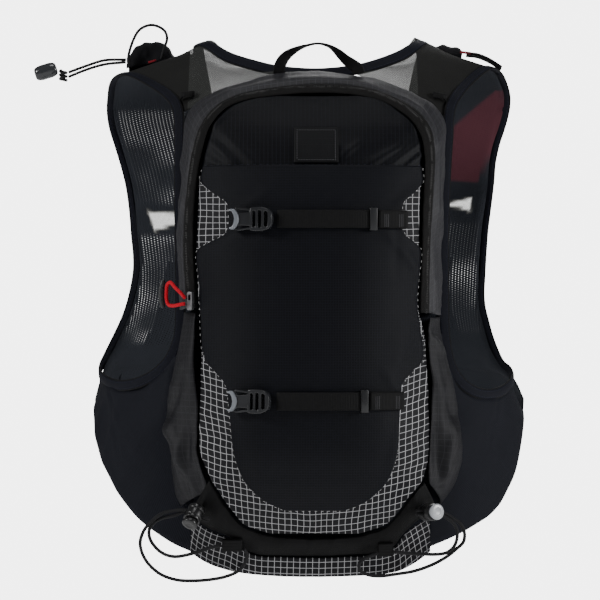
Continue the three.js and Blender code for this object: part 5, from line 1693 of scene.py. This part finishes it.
FLOOR = -0.62  # height of the floor
FILL, PAPER = 0.10, 5.0  # strength of the soft surround, and of the white paper behind
LAMPS = [
    # name, place, size, power
    ("key", (-2.1, -1.0, 0.9), 0.7, 38),
    ("fill", (2.2, -0.9, 0.3), 0.7, 38),
    ("top", (0.1, -0.5, 1.7), 0.8, 11),
    ("back", (0.3, 1.8, 0.6), 1.4, 13),
]


def add_stage():
    """A pale floor, a white surround and soft studio lamps."""
    corners = [(-5, -6, FLOOR), (5, -6, FLOOR), (5, 1.5, FLOOR), (-5, 1.5, FLOOR)]
    floor = mesh_object("floor", corners, [(0, 1, 2, 3)], smooth=False)
    look = Look("pale_floor", rough=0.9, specular=0.1)
    look.shader.inputs["Emission Color"].default_value = (1, 1, 1, 1)
    look.shader.inputs["Emission Strength"].default_value = 0.3
    floor.data.materials.append(look.finish((0.92, 0.92, 0.92, 1)))
    world = bpy.data.worlds.new("studio")
    bpy.context.scene.world = world
    world.use_nodes = True
    tree = world.node_tree
    surround, paper = tree.nodes["Background"], tree.nodes.new("ShaderNodeBackground")
    for shade, strength in ((surround, FILL), (paper, PAPER)):
        shade.inputs["Color"].default_value = (1, 1, 1, 1)
        shade.inputs["Strength"].default_value = strength
    seen = tree.nodes.new("ShaderNodeLightPath")
    both = tree.nodes.new("ShaderNodeMixShader")
    tree.links.new(seen.outputs["Is Camera Ray"], both.inputs[0])
    tree.links.new(surround.outputs[0], both.inputs[1])
    tree.links.new(paper.outputs[0], both.inputs[2])
    tree.links.new(both.outputs[0], tree.nodes["World Output"].inputs[0])
    for name, place, size, power in LAMPS:
        data = bpy.data.lights.new(name, "AREA")
        data.shape, data.size, data.energy = "DISK", size, power
        lamp = show(bpy.data.objects.new(name, data))
        lamp.location = place
        lamp.rotation_euler = (Vector((0, 0, -0.2)) - Vector(place)).to_track_quat("-Z", "Y").to_euler()


RIPSTOPS = {
    # key: material, dark and light colour, specular, then the colour of a pale net and of a faint one
    "ripstop": ("charcoal_ripstop", (22, 22, 25), (42, 42, 46), 0.3, None, (74, 74, 80)),
    "pocket_ripstop": ("pocket_ripstop", (12, 12, 15), (25, 25, 29), 0.24, None, (52, 52, 57)),
    "casing": ("black_ripstop", (6, 6, 7), (12, 12, 13), 0.13),
    "grid": ("grid_ripstop", (9, 9, 12), (18, 18, 23), 0.16, (190, 190, 193)),
    "patch": ("patch_cloth", (5, 6, 8), (10, 11, 14)),
}
MOULDED = {
    # key: material, dark and light colour, roughness
    "coil": ("zip_coil", (22, 22, 22), (40, 39, 39), 0.45),
    "buckle": ("buckle_plastic", (30, 31, 33), (42, 43, 46), 0.22),
    # painted highlight: the plug's crescent bar is of the buckle's plastic, given a light grey for the
    # gloss on it
    "bar": ("buckle_bar", (104, 108, 114), (132, 136, 142), 0.25),
    "keeper": ("keeper_plastic", (24, 25, 27), (36, 37, 39), 0.3),
    "lock": ("lock_plastic", (18, 18, 19), (30, 30, 31), 0.3),
    "button": ("button_plastic", (150, 152, 156), (180, 182, 186), 0.25),
    "bead": ("bead_plastic", (34, 35, 37), (58, 60, 63), 0.16),
    "grip": ("grip_rubber", (20, 20, 21), (32, 32, 34), 0.5),
}
BRAIDED = {
    # key: material, dark and light colour
    "black_braid": ("black_braid", (9, 9, 10), (34, 34, 36)),
    "red_braid": ("red_braid", (130, 8, 22), (214, 20, 42)),
    "red_tape": ("red_tape", (90, 8, 20), (130, 18, 32)),
    "piping": ("black_piping", (6, 6, 7), (14, 14, 15)),
    "pale_thread": ("pale_thread", (190, 190, 190), (235, 235, 235)),
    "grey_thread": ("grey_thread", (60, 60, 63), (104, 104, 108)),
    "navy_thread": ("navy_thread", (20, 22, 34), (40, 43, 60)),
}


def make_looks():
    """Every finish, by the name that the pieces use."""
    looks = {
        "elastic": elastic_look(),
        "sheer": sheer_look(),
        "front": front_look(),
        "dense_knit": dense_knit_look(),
        "pinstripe": pinstripe_look(),
        "stretch": stretch_look(),
        "wing": wing_look("wing_stretch", (7, 8, 12), (15, 17, 23)),
        "black_cloth": wing_look("black_gathers", (6, 6, 7), (13, 13, 14)),
        "webbing": webbing_look(),
        "tape": tape_look(),
        "metal": metal_look(),
    }
    for make, table in ((ripstop_look, RIPSTOPS), (moulded_look, MOULDED), (braid_look, BRAIDED)):
        looks.update({key: make(*values) for key, values in table.items()})
    return looks


add_camera()
LOOKS = make_looks()
make_cords(LOOKS)
find_bindings()
for make in (make_backing, make_yokes, make_fronts, make_wings, make_side_pockets, make_pack, make_hem,
             make_front_pockets, make_bindings, make_webbing, make_locks, make_buckles, make_trims):
    make(LOOKS)
add_stage()
